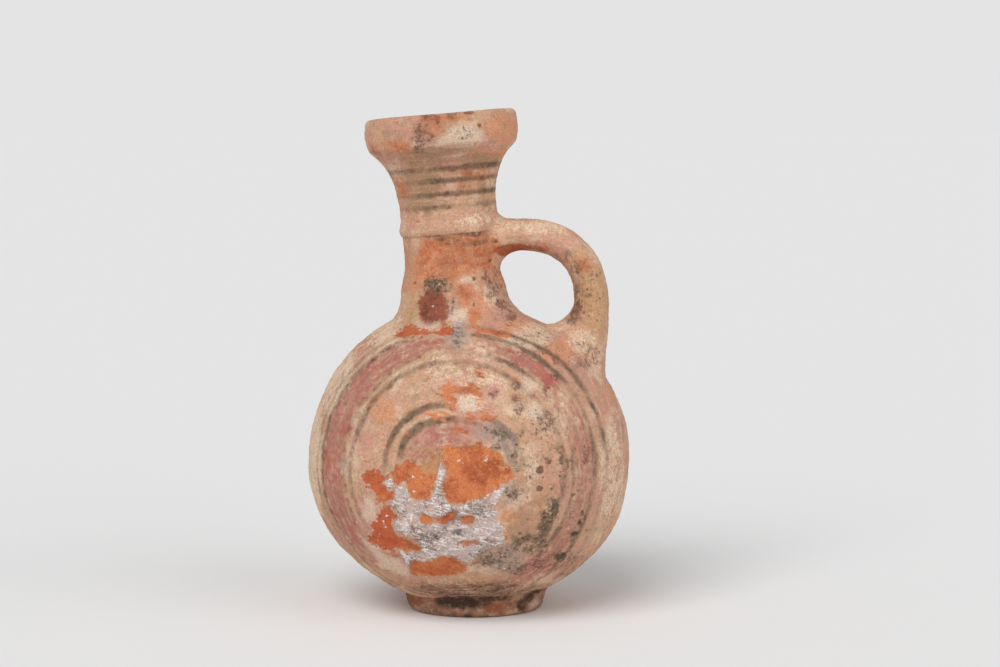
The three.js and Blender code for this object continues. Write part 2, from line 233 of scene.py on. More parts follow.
LIME = [
    [(-4.3, 7.3), (-5.2, 5.4), (-5.4, 2.4), (-7.3, -5.9), (-10.2, -7.5), (-13, -7.2), (-15.2, -6),
     (-16.7, -3), (-18.2, -1.8), (-21.2, -2.9), (-20.9, -5.2), (-23.3, -8.4), (-21, -11),
     (-20.3, -13.5), (-22.8, -17), (-22, -19.4), (-16.5, -21), (-13.4, -23.6), (-12, -26.2),
     (-14.6, -27.4), (-20.3, -27), (-19.6, -30.3), (-17.4, -33), (-14.2, -30.7), (-11.2, -31.5),
     (-6.2, -28.6), (-2.2, -28.1), (2.8, -31.3), (5.3, -31.4), (9, -27.4), (13, -25.3), (18, -23.4),
     (17.8, -20.4), (18.3, -17.4), (15.2, -13.5), (16.3, -10.8), (14.2, -10), (16.3, -8), (18.9, -1.6),
     (14.7, -3.2), (8.2, -6.6), (1, -9), (-1.2, -8), (-3.9, -1.8), (-2.1, 3.6)],
    [(-25.2, 0), (-22.5, 0.8), (-21.3, -1), (-21.4, -2.6), (-25.4, -2.6)],
    [(-2.6, 55.4), (-0.6, 57), (0.8, 54.6), (0.4, 51), (-1.6, 50.4)],
]
BACK_LIME = [
    [(-12, -5), (-7, -1), (0, -4), (8, -3), (9, -8), (3, -13), (5, -20), (-5, -21), (-9, -16),
     (-18, -17), (-15, -10)],
]
CREAM = [
    [(-37, -22), (-33.4, -24), (-30, -27.5), (-26, -29.5), (-30, -31.5), (-35, -27)],
    [(-29, -30.5), (-21, -31), (-18, -34), (-18.5, -38), (-24, -38), (-29, -34.5)],
    [(-33, -7), (-30, -7), (-28, -11), (-29, -16), (-32, -16), (-34, -13)],
    [(24, 35), (26.5, 35), (29, 33), (28, 31), (25, 31)],
    [(26, 28), (30, 28.5), (31.5, 24), (29, 20.5), (26, 23)],
    [(1.5, 28.5), (3, 30), (6, 30), (8, 28.5), (7.5, 26), (4, 25), (2, 25.5)],
    [(-9, 122), (-6, 125), (-3, 128), (3, 128), (7.5, 125.5), (8, 122), (3, 121), (-4, 120.8)],
    [(-19, 55.4), (-17.5, 55.2), (-16, 53.8), (-12.5, 53.8), (-8.5, 55), (-8.3, 53), (-12.5, 52),
     (-16, 52.2), (-18, 53.6)],
    [(-2, 70), (0, 71.8), (3.5, 71.5), (7, 67), (5.5, 66.5), (3, 70)],
    [(-4.5, 57), (-2, 60), (1.5, 60), (2, 56), (-1, 54), (-4, 54.5)],
    [(24.4, -53), (26.8, -51.4), (27.4, -54), (25, -55.6)],
]
MAROON = [
    [(-17.5, 62), (-16.5, 64), (-14.5, 66.4), (-12, 67.6), (-8, 67), (-6.5, 65), (-5.2, 61), (-5.5, 57),
     (-7, 55), (-10, 54), (-13, 53.5), (-15.2, 55), (-17, 58.5)],
]
ORANGE = [
    [(-16.5, 86.8), (-10, 86.8), (-3, 87.5), (5, 88.3), (11, 86.8), (13, 83), (12.5, 78), (8, 74),
     (3, 72.5), (-1, 72), (-4, 69), (-12, 70.5), (-17, 68), (-18.5, 74), (-17.5, 80)],
    [(-3.5, 66), (-1, 69), (2.5, 69), (5, 66.5), (4.5, 63.5), (1.5, 61.5), (-2, 62)],
    [(2.5, 60), (5.5, 60), (6, 56), (4, 53.5), (2.5, 55)],
    [(-27, -28.5), (-23, -28), (-20.7, -29), (-20.5, -31.3), (-22.5, -31)],
    [(9.5, -29.5), (11.3, -28.6), (13.2, -29.5), (13, -31.3), (10.8, -31.8)],
    [(-15, 132.4), (-8, 132.6), (2, 132.8), (2.5, 130.4), (-6, 129), (-8.4, 125), (-12, 123.6),
     (-15.4, 126)],
    [(-36, 121), (-33, 120.5), (-32.5, 118), (-35.5, 118)],
    [(-29, 121.3), (-22, 122.3), (-19, 121), (-20, 118.6), (-28, 118)],
    [(-26, 108), (-22.5, 107.5), (-21.5, 103), (-23, 100.5), (-26, 102)],
    [(-1, 111.4), (7.5, 111.7), (8, 109.2), (0, 109)],
    [(-3, 106.8), (4, 107), (5, 104.7), (-2, 104.5)],
    [(41.5, 78.5), (46, 77.5), (46.5, 73.5), (42.5, 73)],
]
GREY = [
    [(7, 20), (14, 21), (18, 20), (23, 16), (25, 7), (23, 3), (20, 8), (18, 12), (13, 15), (8, 16)],
    [(19, -1), (23, 0), (25, -4), (24, -8), (20, -8), (18, -5)],
    [(-5, 50), (-2, 53.5), (0, 56.5), (2, 54), (3.5, 50), (1, 46), (-3, 47)],
    [(-43.5, 5), (-41, 5.5), (-40.5, 2), (-43, 1.5)],
    [(10, -25), (20, -23), (25, -26), (24, -33), (20, -36), (12, -35), (8, -31)],
    [(-4.6, 62), (-3.4, 62), (-2.2, 58), (-3.8, 57)],
]
PURPLE = [
    [(7.4, 73.6), (9.6, 73.4), (10, 70.6), (12.6, 70), (13.9, 67.5), (13, 64.5), (11, 62.6), (10, 64.5),
     (9.3, 68)],
    [(-18.4, 129), (-15, 129.4), (-14.2, 126), (-10.6, 124), (-10.8, 122.2), (-14.4, 121.6), (-15, 119),
     (-17.6, 119)],
    [(-13.6, 132.4), (-9, 132.6), (-8.4, 131.4), (-11, 130.6), (-13.4, 131)],
    [(-5.4, 132.8), (-2, 133), (-2.4, 131.6), (-4.6, 131.6)],
    [(38.6, 62.4), (42.6, 62.4), (44.8, 59), (43.8, 55.4), (41, 53.6), (38.6, 54)],
    [(20.6, 29.8), (22.6, 30), (24.4, 27.4), (25.4, 24.6), (23.6, 23.8), (21.6, 26)],
    [(12.8, 31), (14.2, 33), (15.6, 31.6), (15, 29.6), (13.4, 29.6)],
    [(31.6, 18.4), (33, 21.6), (35.4, 21), (35, 18.4), (33, 17.4)],
]
# Soft ovals: x, z, half width, half height, strength
# Stains; the oval at z 87.4 is a painted shadow under the neck's ridge.
STAINS_AND_SHADE = [
    (14.6, 61, 3.4, 2.8, 0.66), (17.6, 57.2, 3, 2.8, 0.66), (22, 33.5, 2.6, 2.6, 0.6),
    (2.5, 133, 2.8, 0.9, 0.8), (36, 39, 4, 6, 0.5), (30, 30, 6, 6, 0.5), (33, 21, 5, 8, 0.5),
    (47, 8, 2.5, 6, 0.5), (22, -5, 3.4, 4, 0.75), (15.5, 12.4, 3, 2, 0.9), (3, 87.4, 9, 1.6, 0.7),
    (28, -32, 5, 4, 0.5), (12, 72, 2, 5, 0.5),
]
SOOT = [
    (35.6, -10, 3.4, 5, 0.9), (33.8, -13.8, 4, 5, 1), (32, -17.6, 3.6, 4.6, 0.9),
    (45.9, -14.2, 1.1, 2, 1.3), (44.9, -17.8, 1, 2.4, 1.3), (43.2, -22.2, 2.4, 1.5, 1.4),
    (37, -30.5, 3.4, 2.6, 1.25), (32, -24.5, 3, 3, 1), (26, -24, 9, 7, 0.8), (42, -6, 14, 34, 0.42),
    (14, -30, 12, 7, 0.84), (22, -35, 9, 4, 0.66), (-7, -20, 5, 3, 0.75), (2, -18.8, 4, 2.4, 0.75),
    (6, -11, 3, 2, 0.6), (17, 17, 6, 4, 0.8), (22.5, 11, 3, 6, 0.72), (11, 19.5, 4, 2.5, 0.6),
    (21.5, -4.5, 4.5, 4.5, 0.85), (45, 43, 9, 9, 0.66), (40, 66, 5, 5, 0.72), (36.5, 79.5, 5, 4, 0.68),
    (41, 75, 3, 4.5, 0.68), (16, 60, 9, 10, 0.5), (-9.6, 68.8, 7.6, 4.6, 1.05), (-4, 61.5, 1.5, 5, 0.9),
    (46, 68, 9, 18, 0.5), (28, 12, 12, 24, 0.5), (-14, 124, 5, 8, 0.5), (0, 124.5, 9, 5, 0.42),
    (10, 127, 9, 8, 0.35), (0, 51, 4, 6, 0.6), (26, 47, 16, 9, 0.5), (-30, 40, 30, 24, 0.2),
    (-6, 105, 20, 14, 0.3), (38, 2, 1.6, 12, 0.6),
]
OCHRE = [
    (49, 64, 10, 22, 0.95), (43, 79, 7, 6, 0.85), (33, -8, 9, 16, 0.5), (-8, 8, 7, 7, 0.85),
    (-19, 60, 5, 22, 0.75), (6, -40, 26, 6, 0.55), (22, 10, 10, 20, 0.55), (-44, -10, 12, 30, 0.4),
    (-20, 22, 12, 10, 0.4), (-4, 3, 2, 8, 0.6), (0, -56, 16, 1.6, 0.8), (-21, -52, 6, 5, 0.7),
    (14, -53.5, 7, 2.6, 0.7), (26.5, -53, 1.8, 3, 0.7),
]
PINK = [
    (-27, 127, 12, 6, 0.36), (24, 52, 18, 9, 0.6), (16, 59, 6, 9, 0.5), (44, 44, 12, 12, 0.42),
    (29, -33, 8, 7, 0.9), (-17, -52, 9, 3, 0.7), (10, 122, 16, 6, 0.5), (-34, 14, 9, 14, 0.5),
    (57, 10, 6, 26, 0.5), (2, 94, 14, 4, 0.5), (-38, 48, 16, 9, 0.4), (58, -8, 5, 26, 0.4),
    (7, 67, 2.4, 5, 0.6), (14, 33, 5, 5, 0.75), (-36, -20, 5, 12, 0.5),
]
# Pale cream slip, and painted light: the ovals on the shoulder, from z 45 to 53, and the one along the
# right edge lighten the slip where light falls on it.
PALE = [
    (27, 92, 22, 6, 0.85), (4, 93, 12, 4, 0.5), (-50, 34, 14, 20, 0.8), (-32, 51, 14, 10, 0.65),
    (34, 24, 12, 14, 0.42), (8, 36, 14, 8, 0.46), (56, 0, 7, 34, 0.57), (6, 28, 6, 4, 0.9),
    (-6, 40, 10, 6, 0.5), (-27, -33, 7, 5, 0.9), (28, 4, 5, 10, 0.6), (24, 49, 14, 5, 0.8),
    (-22, 46, 16, 5, 0.6), (44, 47, 8, 7, 0.8), (-57, 2, 6, 32, 0.9), (10, 45, 12, 4, 0.55),
    (31, 53, 14, 5, 0.66), (11, 66, 4, 7, 0.75),
]
# Tan stains, and painted shade: the bands just under the collar, near z 115 to 119, and the oval on the
# neck's right side darken where less light falls.
TAN = [
    (-16, 104, 12, 14, 0.85), (4, 113, 14, 8, 0.6), (9, 103, 9, 12, 0.62), (36, 6, 8, 20, 0.4),
    (-12, 118.6, 18, 3, 0.75), (30, -18, 18, 22, 0.58), (-26, 124, 9, 5, 0.5), (-6, 126, 16, 9, 0.5),
    (-2, 123, 10, 4, 0.62), (8, 115.5, 18, 3.6, 0.95), (-14, 115, 14, 3.6, 0.85),
]
WARM = [
    (4, 62, 9, 13, 0.75), (21, -13, 6, 4, 0.8), (16, 127, 12, 8, 0.95), (14, 117, 16, 4, 0.9),
    (-19, 74, 5, 14, 0.7), (36, 44, 9, 6, 1), (-26, 121, 12, 4, 0.65), (12, 72, 4, 10, 0.6),
    (-2, 109, 8, 6, 0.5), (-16, 93, 6, 5, 0.5), (-26, 24, 11, 13, 0.55), (20, 54, 14, 4, 0.6),
    (54, 24, 5, 12, 0.48),
]
FIRED = [
    (-29, -1, 7, 8, 0.9), (-26, -20, 9, 12, 0.95), (-15, 51, 14, 5, 0.9), (-8, -35, 9, 4, 0.5),
]
# Deep orange: the first oval is painted shade under the handle's top; the two on the foot deepen its
# orange.
UNDERSIDE = [
    (21, 80.8, 12.5, 3.6, 1.4), (13, -52.5, 8, 3.4, 0.54), (-20, -51.5, 7, 4.6, 0.5),
]
# Burial dirt and painted shade: the ovals near z -50 darken the groove under the globe, those at z 84 to
# 86 paint the shadow under the neck's ridge, and the wide low ones darken the body towards the foot.
DIRT_AND_SHADE = [
    (0, -50.4, 15, 4.2, 1.25), (10, -49, 14, 1.6, 1), (21.6, -52.5, 2.6, 4, 1.1),
    (24, -50, 3, 3.4, 1.1), (27, -47.5, 4, 2.6, 1.05), (36, -36, 20, 12, 0.5), (4, -44.5, 40, 7, 0.74),
    (2, -55.6, 2.4, 1.6, 1), (27, -54, 3, 3, 0.6), (-10, -55, 8, 1.6, 0.6), (-30, -46, 16, 8, 0.4),
    (-9, 86.2, 9, 1.8, 0.66), (0, 84.5, 14, 2.8, 0.62),
]
# Round brown spots, and white chips and painted highlights: x, z, radius
SPOTS = [
    (31, 3.7, 1.4), (31, -3, 1.2), (34.2, 6.4, 0.9), (34.6, -2, 0.5), (35.3, -3.4, 0.5),
    (42.4, -6.3, 0.8), (26.7, -6.2, 0.5), (26.8, -14.3, 0.6), (38, 1, 0.6), (-19, 69, 0.5),
    (4.5, 61.5, 0.6), (4.5, 71, 0.7), (6.1, 128.4, 0.7), (-8.8, 129.3, 0.7), (18, -29, 0.6),
    (24, -20, 0.7), (-23.3, -3.3, 0.6), (-9.2, 67.8, 0.5), (10, 77.3, 0.6), (11, 84.5, 0.7),
    (-29.8, 1, 0.5), (-27.4, -1.2, 0.5),
]
# White chips on the flakes, and painted highlights on the neck
GLINTS_AND_CHIPS = [
    (-11.5, 60.5, 0.5), (-15, 73, 0.5), (2.4, 7.8, 0.6), (3.8, 7.1, 0.4), (-14.6, 1.7, 0.7),
    (-14, -3.8, 0.5), (-11.3, 1.3, 0.4), (-26, -16, 0.5), (-24, -11, 0.4), (-28, -21, 0.5),
    (10.8, 8.8, 0.6), (12, 8, 0.7), (12.8, 9, 0.5), (17.5, -34, 0.4), (-9.5, 68.7, 0.4),
    (-30, -19.4, 0.4), (-24.6, -13.6, 0.5), (-25.4, -18, 0.4), (-28.6, -16, 0.4), (-16.4, 0.6, 0.4),
    (-12.4, -4.8, 0.4), (-29, -23.4, 0.4),
]
# Painted rings: half width, then angle round, distance from the rings' axis and share of paint left
RING_TILT = radians(1.4)
RING_SWING = radians(-0.4)
RING_LINES = [
    (0.6, [(0, 54, 0.35), (8, 54.3, 0.55), (14, 54.4, 0.95), (20, 54.5, 0.4), (26, 54.6, 0.95),
        (31, 54.8, 0.5), (36, 54.8, 1), (50, 54.8, 1), (65, 53.6, 0.85), (85, 53.3, 0.5),
        (95, 53.5, 0.1), (115, 54.2, 0.3), (130, 54.9, 0.5), (160, 55.2, 0.5), (190, 54.4, 0.5),
        (215, 53.8, 0.3), (240, 53.5, 0.2), (320, 53.6, 0.35), (345, 53.2, 0.35)]),
    (0.8, [(0, 50, 0.6), (12, 50.4, 0.7), (24, 50.8, 0.4), (38, 51.2, 0.4), (44, 51.1, 1),
        (58, 50.8, 0.95), (66, 50.8, 0.6), (82, 50.7, 0.75), (90, 50.4, 0.35), (105, 51, 0.3),
        (118, 52.2, 0.55), (140, 52.6, 0.64), (155, 52.8, 0.6), (175, 52.2, 0.6), (200, 51.4, 0.5),
        (225, 50.5, 0.4), (270, 50, 0.15), (305, 49.8, 0.4), (318, 49.5, 0.65), (333, 49.9, 0.7),
        (343, 49.4, 0.65), (350, 49.6, 0.4)]),
    (0.75, [(0, 42.4, 0.5), (12, 42.6, 0.45), (30, 43.4, 0.25), (42, 44.2, 0.25), (50, 44.3, 0.5),
        (58, 44.2, 0.95), (70, 44.4, 0.7), (80, 43.6, 0.25), (100, 44, 0.2), (112, 44.3, 0.45),
        (138, 43.6, 0.5), (148, 44, 0.45), (160, 43.4, 0.4), (178, 42.4, 0.45), (200, 41.8, 0.4),
        (225, 41.5, 0.15), (300, 41.5, 0.15), (318, 42.2, 0.6), (340, 42, 0.6)]),
    (1.1, [(0, 39.3, 0.5), (15, 39.6, 0.5), (46, 39.8, 0.3), (54, 39.9, 0.6), (72, 40.8, 0.42),
        (88, 40.6, 0.4), (110, 40.8, 0.52), (124, 41, 0.58), (137, 40.7, 0.58), (150, 40.3, 0.55),
        (165, 39.7, 0.46), (182, 39.1, 0.42), (200, 38.6, 0.45), (214, 38, 0.3), (240, 38, 0.1),
        (300, 38.2, 0.2), (318, 38.3, 0.45), (328, 38.8, 0.7), (342, 38, 0.7), (350, 38.8, 0.55)]),
    (1.1, [(0, 25, 0.1), (20, 25.6, 0.4), (35, 25.4, 0.7), (52, 25, 0.75), (68, 24.5, 0.2),
        (88, 24.8, 0.2), (98, 25.9, 0.6), (112, 26.9, 0.85), (130, 27.2, 0.95), (150, 26.8, 0.85),
        (162, 26.3, 0.6), (175, 25.8, 0.5), (195, 25.5, 0.1), (330, 25, 0.05)]),
    (1.35, [(0, 21, 0.1), (28, 21.5, 0.6), (45, 20.6, 0.25), (68, 20.8, 0.55), (84, 20.8, 0.4),
        (94, 21.1, 0.75), (106, 20.9, 0.85), (120, 22, 0.75), (135, 22.3, 0.9), (152, 21.9, 0.85),
        (163, 21.2, 0.4), (180, 21, 0.1), (330, 21, 0.05)]),
]
# Lines round the neck: half width, height along its axis, then angle round and share of paint left
NECK_SHARES = [
    (1.02, 112.3, [(0, 0.6), (90, 0.4), (180, 0.5), (250, 0.5), (275, 0.85), (330, 0.95)]),
    (1, 107.9, [(0, 0.5), (90, 0.4), (180, 0.25), (240, 0.4), (258, 0.7), (290, 0.95), (320, 0.95),
        (340, 0.6)]),
    (1, 102.8, [(0, 0.7), (90, 0.4), (180, 0.35), (235, 0.45), (255, 0.7), (330, 0.95)]),
    (0.9, 98.1, [(0, 0.45), (90, 0.4), (180, 0.2), (225, 0.4), (245, 0.7), (275, 0.65), (286, 0.35),
        (310, 0.52)]),
]
NECK_LINES = [
    (half, [(angle, height, share) for angle, share in shares])
    for half, height, shares in NECK_SHARES
]
# Red bands: angle round, inner edge, outer edge and share of paint left
RED_BANDS = [
    [(0, 44, 49.3, 0.65), (15, 44, 49.6, 0.72), (28, 43.6, 49.8, 0.5), (38, 45, 50, 0.3),
     (44, 45.3, 49.4, 0.98), (62, 45.3, 49.6, 0.92), (78, 45, 49.8, 0.5), (88, 44.5, 49.5, 0.4),
     (97, 44.6, 49.8, 0.68), (110, 44.6, 51.3, 0.82), (128, 44.6, 52.3, 0.8), (160, 43.8, 52.5, 0.78),
     (190, 42.6, 51.7, 0.8), (212, 42, 50.4, 0.78), (224, 42, 49, 0.5), (250, 41.8, 47, 0.25),
     (280, 41.5, 47, 0.5), (310, 42, 47.4, 0.7), (330, 43.5, 48.6, 0.7), (350, 43.9, 49, 0.62)],
    [(0, -9, 18, 0.2), (60, -9, 19.5, 0.35), (78, -9, 19.8, 0.7), (100, -9, 19.8, 0.75),
     (120, -9, 20.5, 0.72), (155, -9, 20.3, 0.68), (180, -9, 19, 0.2), (270, -9, 18, 0.2)],
]

# Which table feeds which value of a material. Ovals named in ALL_ROUND reach past the front.
OUTLINES = {
    "flake": FLAKES, "lime": LIME, "rubbed": RUBBED, "cream": CREAM, "maroon": MAROON,
    "purple": PURPLE, "orange": ORANGE, "grey": GREY,
}
BACK_OUTLINES = {"flake": BACK_FLAKES, "lime": BACK_LIME}
CIRCLES = {"spots": SPOTS, "glints_and_chips": GLINTS_AND_CHIPS}
OVALS = {
    "stain_and_shade": STAINS_AND_SHADE, "soot": SOOT, "ochre": OCHRE, "pink": PINK, "pale": PALE, "tan": TAN,
    "warm": WARM, "fired": FIRED, "underside": UNDERSIDE, "dirt_and_shade": DIRT_AND_SHADE,
}
ALL_ROUND = ("ochre", "pink", "pale", "tan", "underside")

# The depth inside a mark that stands for far outside it, and how far from the side outlines end
FAR_OUT = -40.0
SIDE_MARGIN = 2.0
# Where a soft oval ends and where it is full, as shares of its half width
OVAL_END, OVAL_FULL = 1.2, 0.3
# A line's half width where the paint is gone, and what a full share of paint adds
THIN_LINE, FULL_LINE = 0.55, 0.6
BACK_PAINT = 0.75
# How strongly burial dirt and painted shade darken the body towards the bottom
LOW_DIRT_AND_SHADE = 0.42
# Where the neck's axis stands, left of the globe's, round the heights of its painted lines
NECK_SHIFT = 8.0
NECK_PAINT_START = GLOBE_RADIUS + 20
NECK_STROKES_START = GLOBE_RADIUS - 4
NECK_STROKES_APART = 50.0
STROKE_REACH = 2.2


def patches(points, outlines, facing):
    """How far each point lies inside any outline on the front, or on the back where facing is -1."""
    flat = points[:, [0, 2]] * (facing, 1)
    best = np.full(len(points), FAR_OUT)
    for outline in outlines:
        best = np.maximum(best, inside_distance(flat, outline))
    return np.minimum(best, -facing * points[:, 1] - SIDE_MARGIN)


def blobs(points, ovals, all_round):
    """Soft ovals, each with its own strength, on the front or breaking up into clouds all round."""
    total = np.zeros(len(points))
    for x, z, half_width, half_height, strength in ovals:
        away = np.hypot((points[:, 0] - x) / half_width, (points[:, 2] - z) / half_height)
        total = np.maximum(total, strength * smooth(away, OVAL_END, OVAL_FULL))
    if not all_round:
        return total * smooth(points[:, 1], 6, -6)
    clouds = np.clip(0.45 + 0.55 * waves(points, 17, 31), 0, 1)
    return total * (1 - smooth(points[:, 1], -14, 4) * (1 - clouds))


def discs(points, circles):
    """How far each point on the front lies inside the nearest of some small circles."""
    best = np.full(len(points), FAR_OUT)
    for x, z, radius in circles:
        best = np.maximum(best, radius - np.hypot(points[:, 0] - x, points[:, 2] - z))
    return np.where(points[:, 1] < 0, best, FAR_OUT)


def ring_place(points):
    """Distance from the painted rings' axis and angle round it, on the front or on the back."""
    front = points[:, 1] < 0
    facing = np.where(front, 1.0, -1.0)
    axis_y = -cos(RING_TILT) * cos(RING_SWING)
    axis_z = np.full(len(points), sin(RING_TILT))
    axis = np.stack([-sin(RING_SWING) * facing, axis_y * facing, axis_z], -1)
    off = points - (points * axis).sum(-1, keepdims=True) * axis
    return np.linalg.norm(off, axis=-1), np.arctan2(off[:, 2], off[:, 0] * facing), front


def neck_turn(points):
    """Angle round the neck."""
    return np.arctan2(points[:, 1], points[:, 0] + NECK_SHIFT)


def round_the_clock(turn, table):
    """The columns of a table, whose first one is an angle in degrees, at each angle."""
    angles, *columns = np.array(table, float).T
    return [np.interp(np.degrees(turn), angles, column, period=360) for column in columns]


def deepest(marks):
    """How far each point lies inside the nearest of some marks, and the share of paint left there."""
    best, left = FAR_OUT, 0.0
    for depth, share in marks:
        left = np.where(depth > best, share, left)
        best = np.maximum(best, depth)
    return best, left


def line_depth(place, turn, lines):
    """Depth inside painted lines and the share of paint left."""
    marks = []
    for half, table in lines:
        middle, share = round_the_clock(turn, table)
        marks.append((half * (THIN_LINE + FULL_LINE * share) - np.abs(place - middle), share))
    return deepest(marks)


def band_depth(place, turn):
    """Depth inside red bands and the share of paint left."""
    marks = []
    for table in RED_BANDS:
        inner, outer, share = round_the_clock(turn, table)
        marks.append((np.minimum(place - inner, outer - place), share))
    return deepest(marks)


def brush_place(points):
    """Where a point lies across the brush strokes, which are rings, and, more slowly, along them."""
    ring, turn, _ = ring_place(points)
    along = points @ NECK_AXIS
    on_neck = along > NECK_STROKES_START
    across = np.where(on_neck, along + NECK_STROKES_APART, ring)
    swept = np.where(on_neck, neck_turn(points), turn)
    return np.stack([across, STROKE_REACH * np.cos(swept), STROKE_REACH * np.sin(swept)], -1)


def fields(points, brush):
    """Values at each point from which the materials make paint, flakes, crust and stains."""
    values = {name: patches(points, outlines, 1) for name, outlines in OUTLINES.items()}
    for name, outlines in BACK_OUTLINES.items():
        values[name] = np.maximum(values[name], patches(points, outlines, -1))
    for name, circles in CIRCLES.items():
        values[name] = discs(points, circles)
    for name, ovals in OVALS.items():
        values[name] = blobs(points, ovals, name in ALL_ROUND)
    # Burial dirt and painted shade, darker towards the bottom
    values["dirt_and_shade"] = np.maximum(values["dirt_and_shade"], LOW_DIRT_AND_SHADE * smooth(points[:, 2], -40, -54))
    ring, turn, front = ring_place(points)
    along = points @ NECK_AXIS
    on_neck = along > NECK_PAINT_START
    tired = np.where(front, 1.0, BACK_PAINT)
    rings, rings_left = line_depth(ring, turn, RING_LINES)
    bands, bands_left = line_depth(along, neck_turn(points), NECK_LINES)
    red, red_left = band_depth(ring, turn)
    values["line"] = np.where(on_neck, bands, rings)
    values["line_left"] = np.where(on_neck, bands_left, rings_left * tired)
    values["red"] = np.where(on_neck, FAR_OUT, red)
    values["red_left"] = red_left * tired
    values["brush"] = brush_place(points) if brush is None else brush
    return values


def settled(points):
    """Points moved to where hands left the clay, in dents and swellings of the turned forms."""
    moved = points.copy()
    for x, z, reach, depth in HAND_PRESSES:
        near = np.exp(-((points - (x, 0, z)) ** 2).sum(-1) / reach ** 2)
        moved -= unit(points) * (near * depth)[:, None]
    along = points @ NECK_AXIS
    side = points[:, 0] - along * NECK_AXIS[0]
    on_right = smooth(side, 2, 16) * smooth(side, 34, 24)
    moved[:, 0] -= SLIM_SIDE * on_right * smooth(along, 56, 62) * smooth(along, 84, 74)
    return moved


def outward(points):
    """Which way relief stands out: off the globe's centre below, off the neck's axis above."""
    share = smooth(points @ NECK_AXIS, 50, 72)[..., None]
    return unit((1 - share) * unit(points) + share * unit(off_axis(points)))


def relief(points, values):
    """How far the surface stands out of its smooth form, in millimetres."""
    hand = sum(height * waves(points, length, seed) for height, length, seed in HAND_WAVES)
    wheel = WHEEL_HEIGHT * np.sin(points @ NECK_AXIS * 2.4 + 0.8 * waves(points, 30, 4))
    edge = 0.5 * waves(points, 6, 5)
    uneven = 1 + 0.15 * waves(points, 4, 6)
    lost = -FLAKE_DEPTH * smooth(values["flake"] + edge, -0.5, 0.5) * uneven
    crust = smooth(values["lime"] + edge, -0.4, 0.8) * (CRUST_HEIGHT + 0.10 * waves(points, 2.6, 7))
    pits = -PIT_DEPTH * smooth(waves(points, 3.2, 8), 2.0, 2.6)
    return hand + wheel + lost + np.where(values["flake"] > 0, 0, crust) + pits


def lip_wave(points):
    """How far the mouth's edge rises and dips along the neck's axis."""
    chips = -CHIP_DEPTH * smooth(waves(points, 8, 12), 1.6, 2.3)
    near = smooth(points @ NECK_AXIS, LIP_WAVE_START, LIP_HEIGHT)
    return near * (LIP_WAVE * waves(points, 34, 11) + chips)


# Meshes

def grid_faces(rows, columns, closed=True):
    """Quads over rows of points that each close on themselves; closed joins the last row to the first."""
    row_range = np.arange(rows if closed else rows - 1)
    row, column = np.meshgrid(row_range, np.arange(columns), indexing="ij")
    next_row, next_column = (row + 1) % rows, (column + 1) % columns
    corners = [(row, column), (row, next_column), (next_row, next_column), (next_row, column)]
    return np.stack([a * columns + b for a, b in corners], -1).reshape(-1, 4)


def cap_faces(start, columns, pole, flip):
    """Triangles from one row of points to a pole."""
    ring = start + np.arange(columns)
    ahead = start + (np.arange(columns) + 1) % columns
    corners = [ahead, ring] if flip else [ring, ahead]
    return np.stack([*corners, np.full(columns, pole)], -1)


def tube_faces(rows, columns):
    """Faces of a tube that closes on two poles, which follow its rows of points."""
    count = rows * columns
    return [
        grid_faces(rows, columns, False),
        cap_faces(0, columns, count, True),
        cap_faces(count - columns, columns, count + 1, False),
    ]


def add_object(name, data):
    """An object in the scene that shows the given data."""
    added = bpy.data.objects.new(name, data)
    bpy.context.scene.collection.objects.link(added)
    return added


def make_piece(name, points, face_sets, ways, material, shift=0.0, brush=None):
    """A closed mesh of the given faces that stands for the CAD node of its name.

    Relief stands out along the ways, as far as they are long, and a shift comes on top of it.
    """
    values = fields(points, brush)
    points = points + ways * relief(points, values)[:, None] + shift
    first = face_sets[0]
    a, b, c, d = (points[first[:, k]] for k in range(4))
    volume = (a * np.cross(b, c)).sum() + (a * np.cross(c, d)).sum()
    faces = []
    for face_set in face_sets:
        faces += (face_set[:, ::-1] if volume < 0 else face_set).tolist()
    mesh = bpy.data.meshes.new(name + "_skin")
    metres = (settled(points) + (0, 0, CENTRE_HEIGHT)) * MM
    mesh.from_pydata(metres.tolist(), [], faces)
    mesh.shade_smooth()
    mesh.set_sharp_from_angle(angle=SHARP_ANGLE)
    for key, value in values.items():
        kind, target = ("FLOAT_VECTOR", "vector") if value.ndim == 2 else ("FLOAT", "value")
        layer = mesh.attributes.new(key, kind, "POINT")
        layer.data.foreach_set(target, value.astype(np.float32).ravel())
    mesh.materials.append(material)
    piece = add_object(name + "_skin", mesh)
    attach(piece, "root")
    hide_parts(name)


def place_on_neck(outline, turns):
    """Points round the leaning neck from an outline of distances off its axis and heights along it."""
    radius, height = outline[:, None, 0], outline[:, None, 1]
    x, y = radius * np.cos(turns), radius * np.sin(turns)
    lean_cos, lean_sin = cos(NECK_LEAN), sin(NECK_LEAN)
    return np.stack([x * lean_cos - height * lean_sin, y, x * lean_sin + height * lean_cos], -1)


def neck_piece(name, stretches, material):
    """A turned piece of the neck. Its outline runs through stretches, each marked as shown or hidden."""
    outline, shown = [], []
    before = stretches[-1][1]
    for stretch, visible in stretches:
        outline.append(stretch[:-1])
        shown += [visible or before] + [visible] * (len(stretch) - 2)
        before = visible
    grid = place_on_neck(np.concatenate(outline), turns_round(NECK_SEGMENTS))
    points = grid.reshape(-1, 3)
    weight = np.repeat(np.array(shown, float), NECK_SEGMENTS)[:, None]
    shift = lip_wave(points)[:, None] * weight * NECK_AXIS
    faces = grid_faces(len(grid), NECK_SEGMENTS)
    make_piece(name, points, [faces], outward(points) * weight, material, shift)


def on_globe(radius):
    """Height on the globe at a distance from the neck's axis."""
    return sqrt(GLOBE_RADIUS ** 2 - radius ** 2)


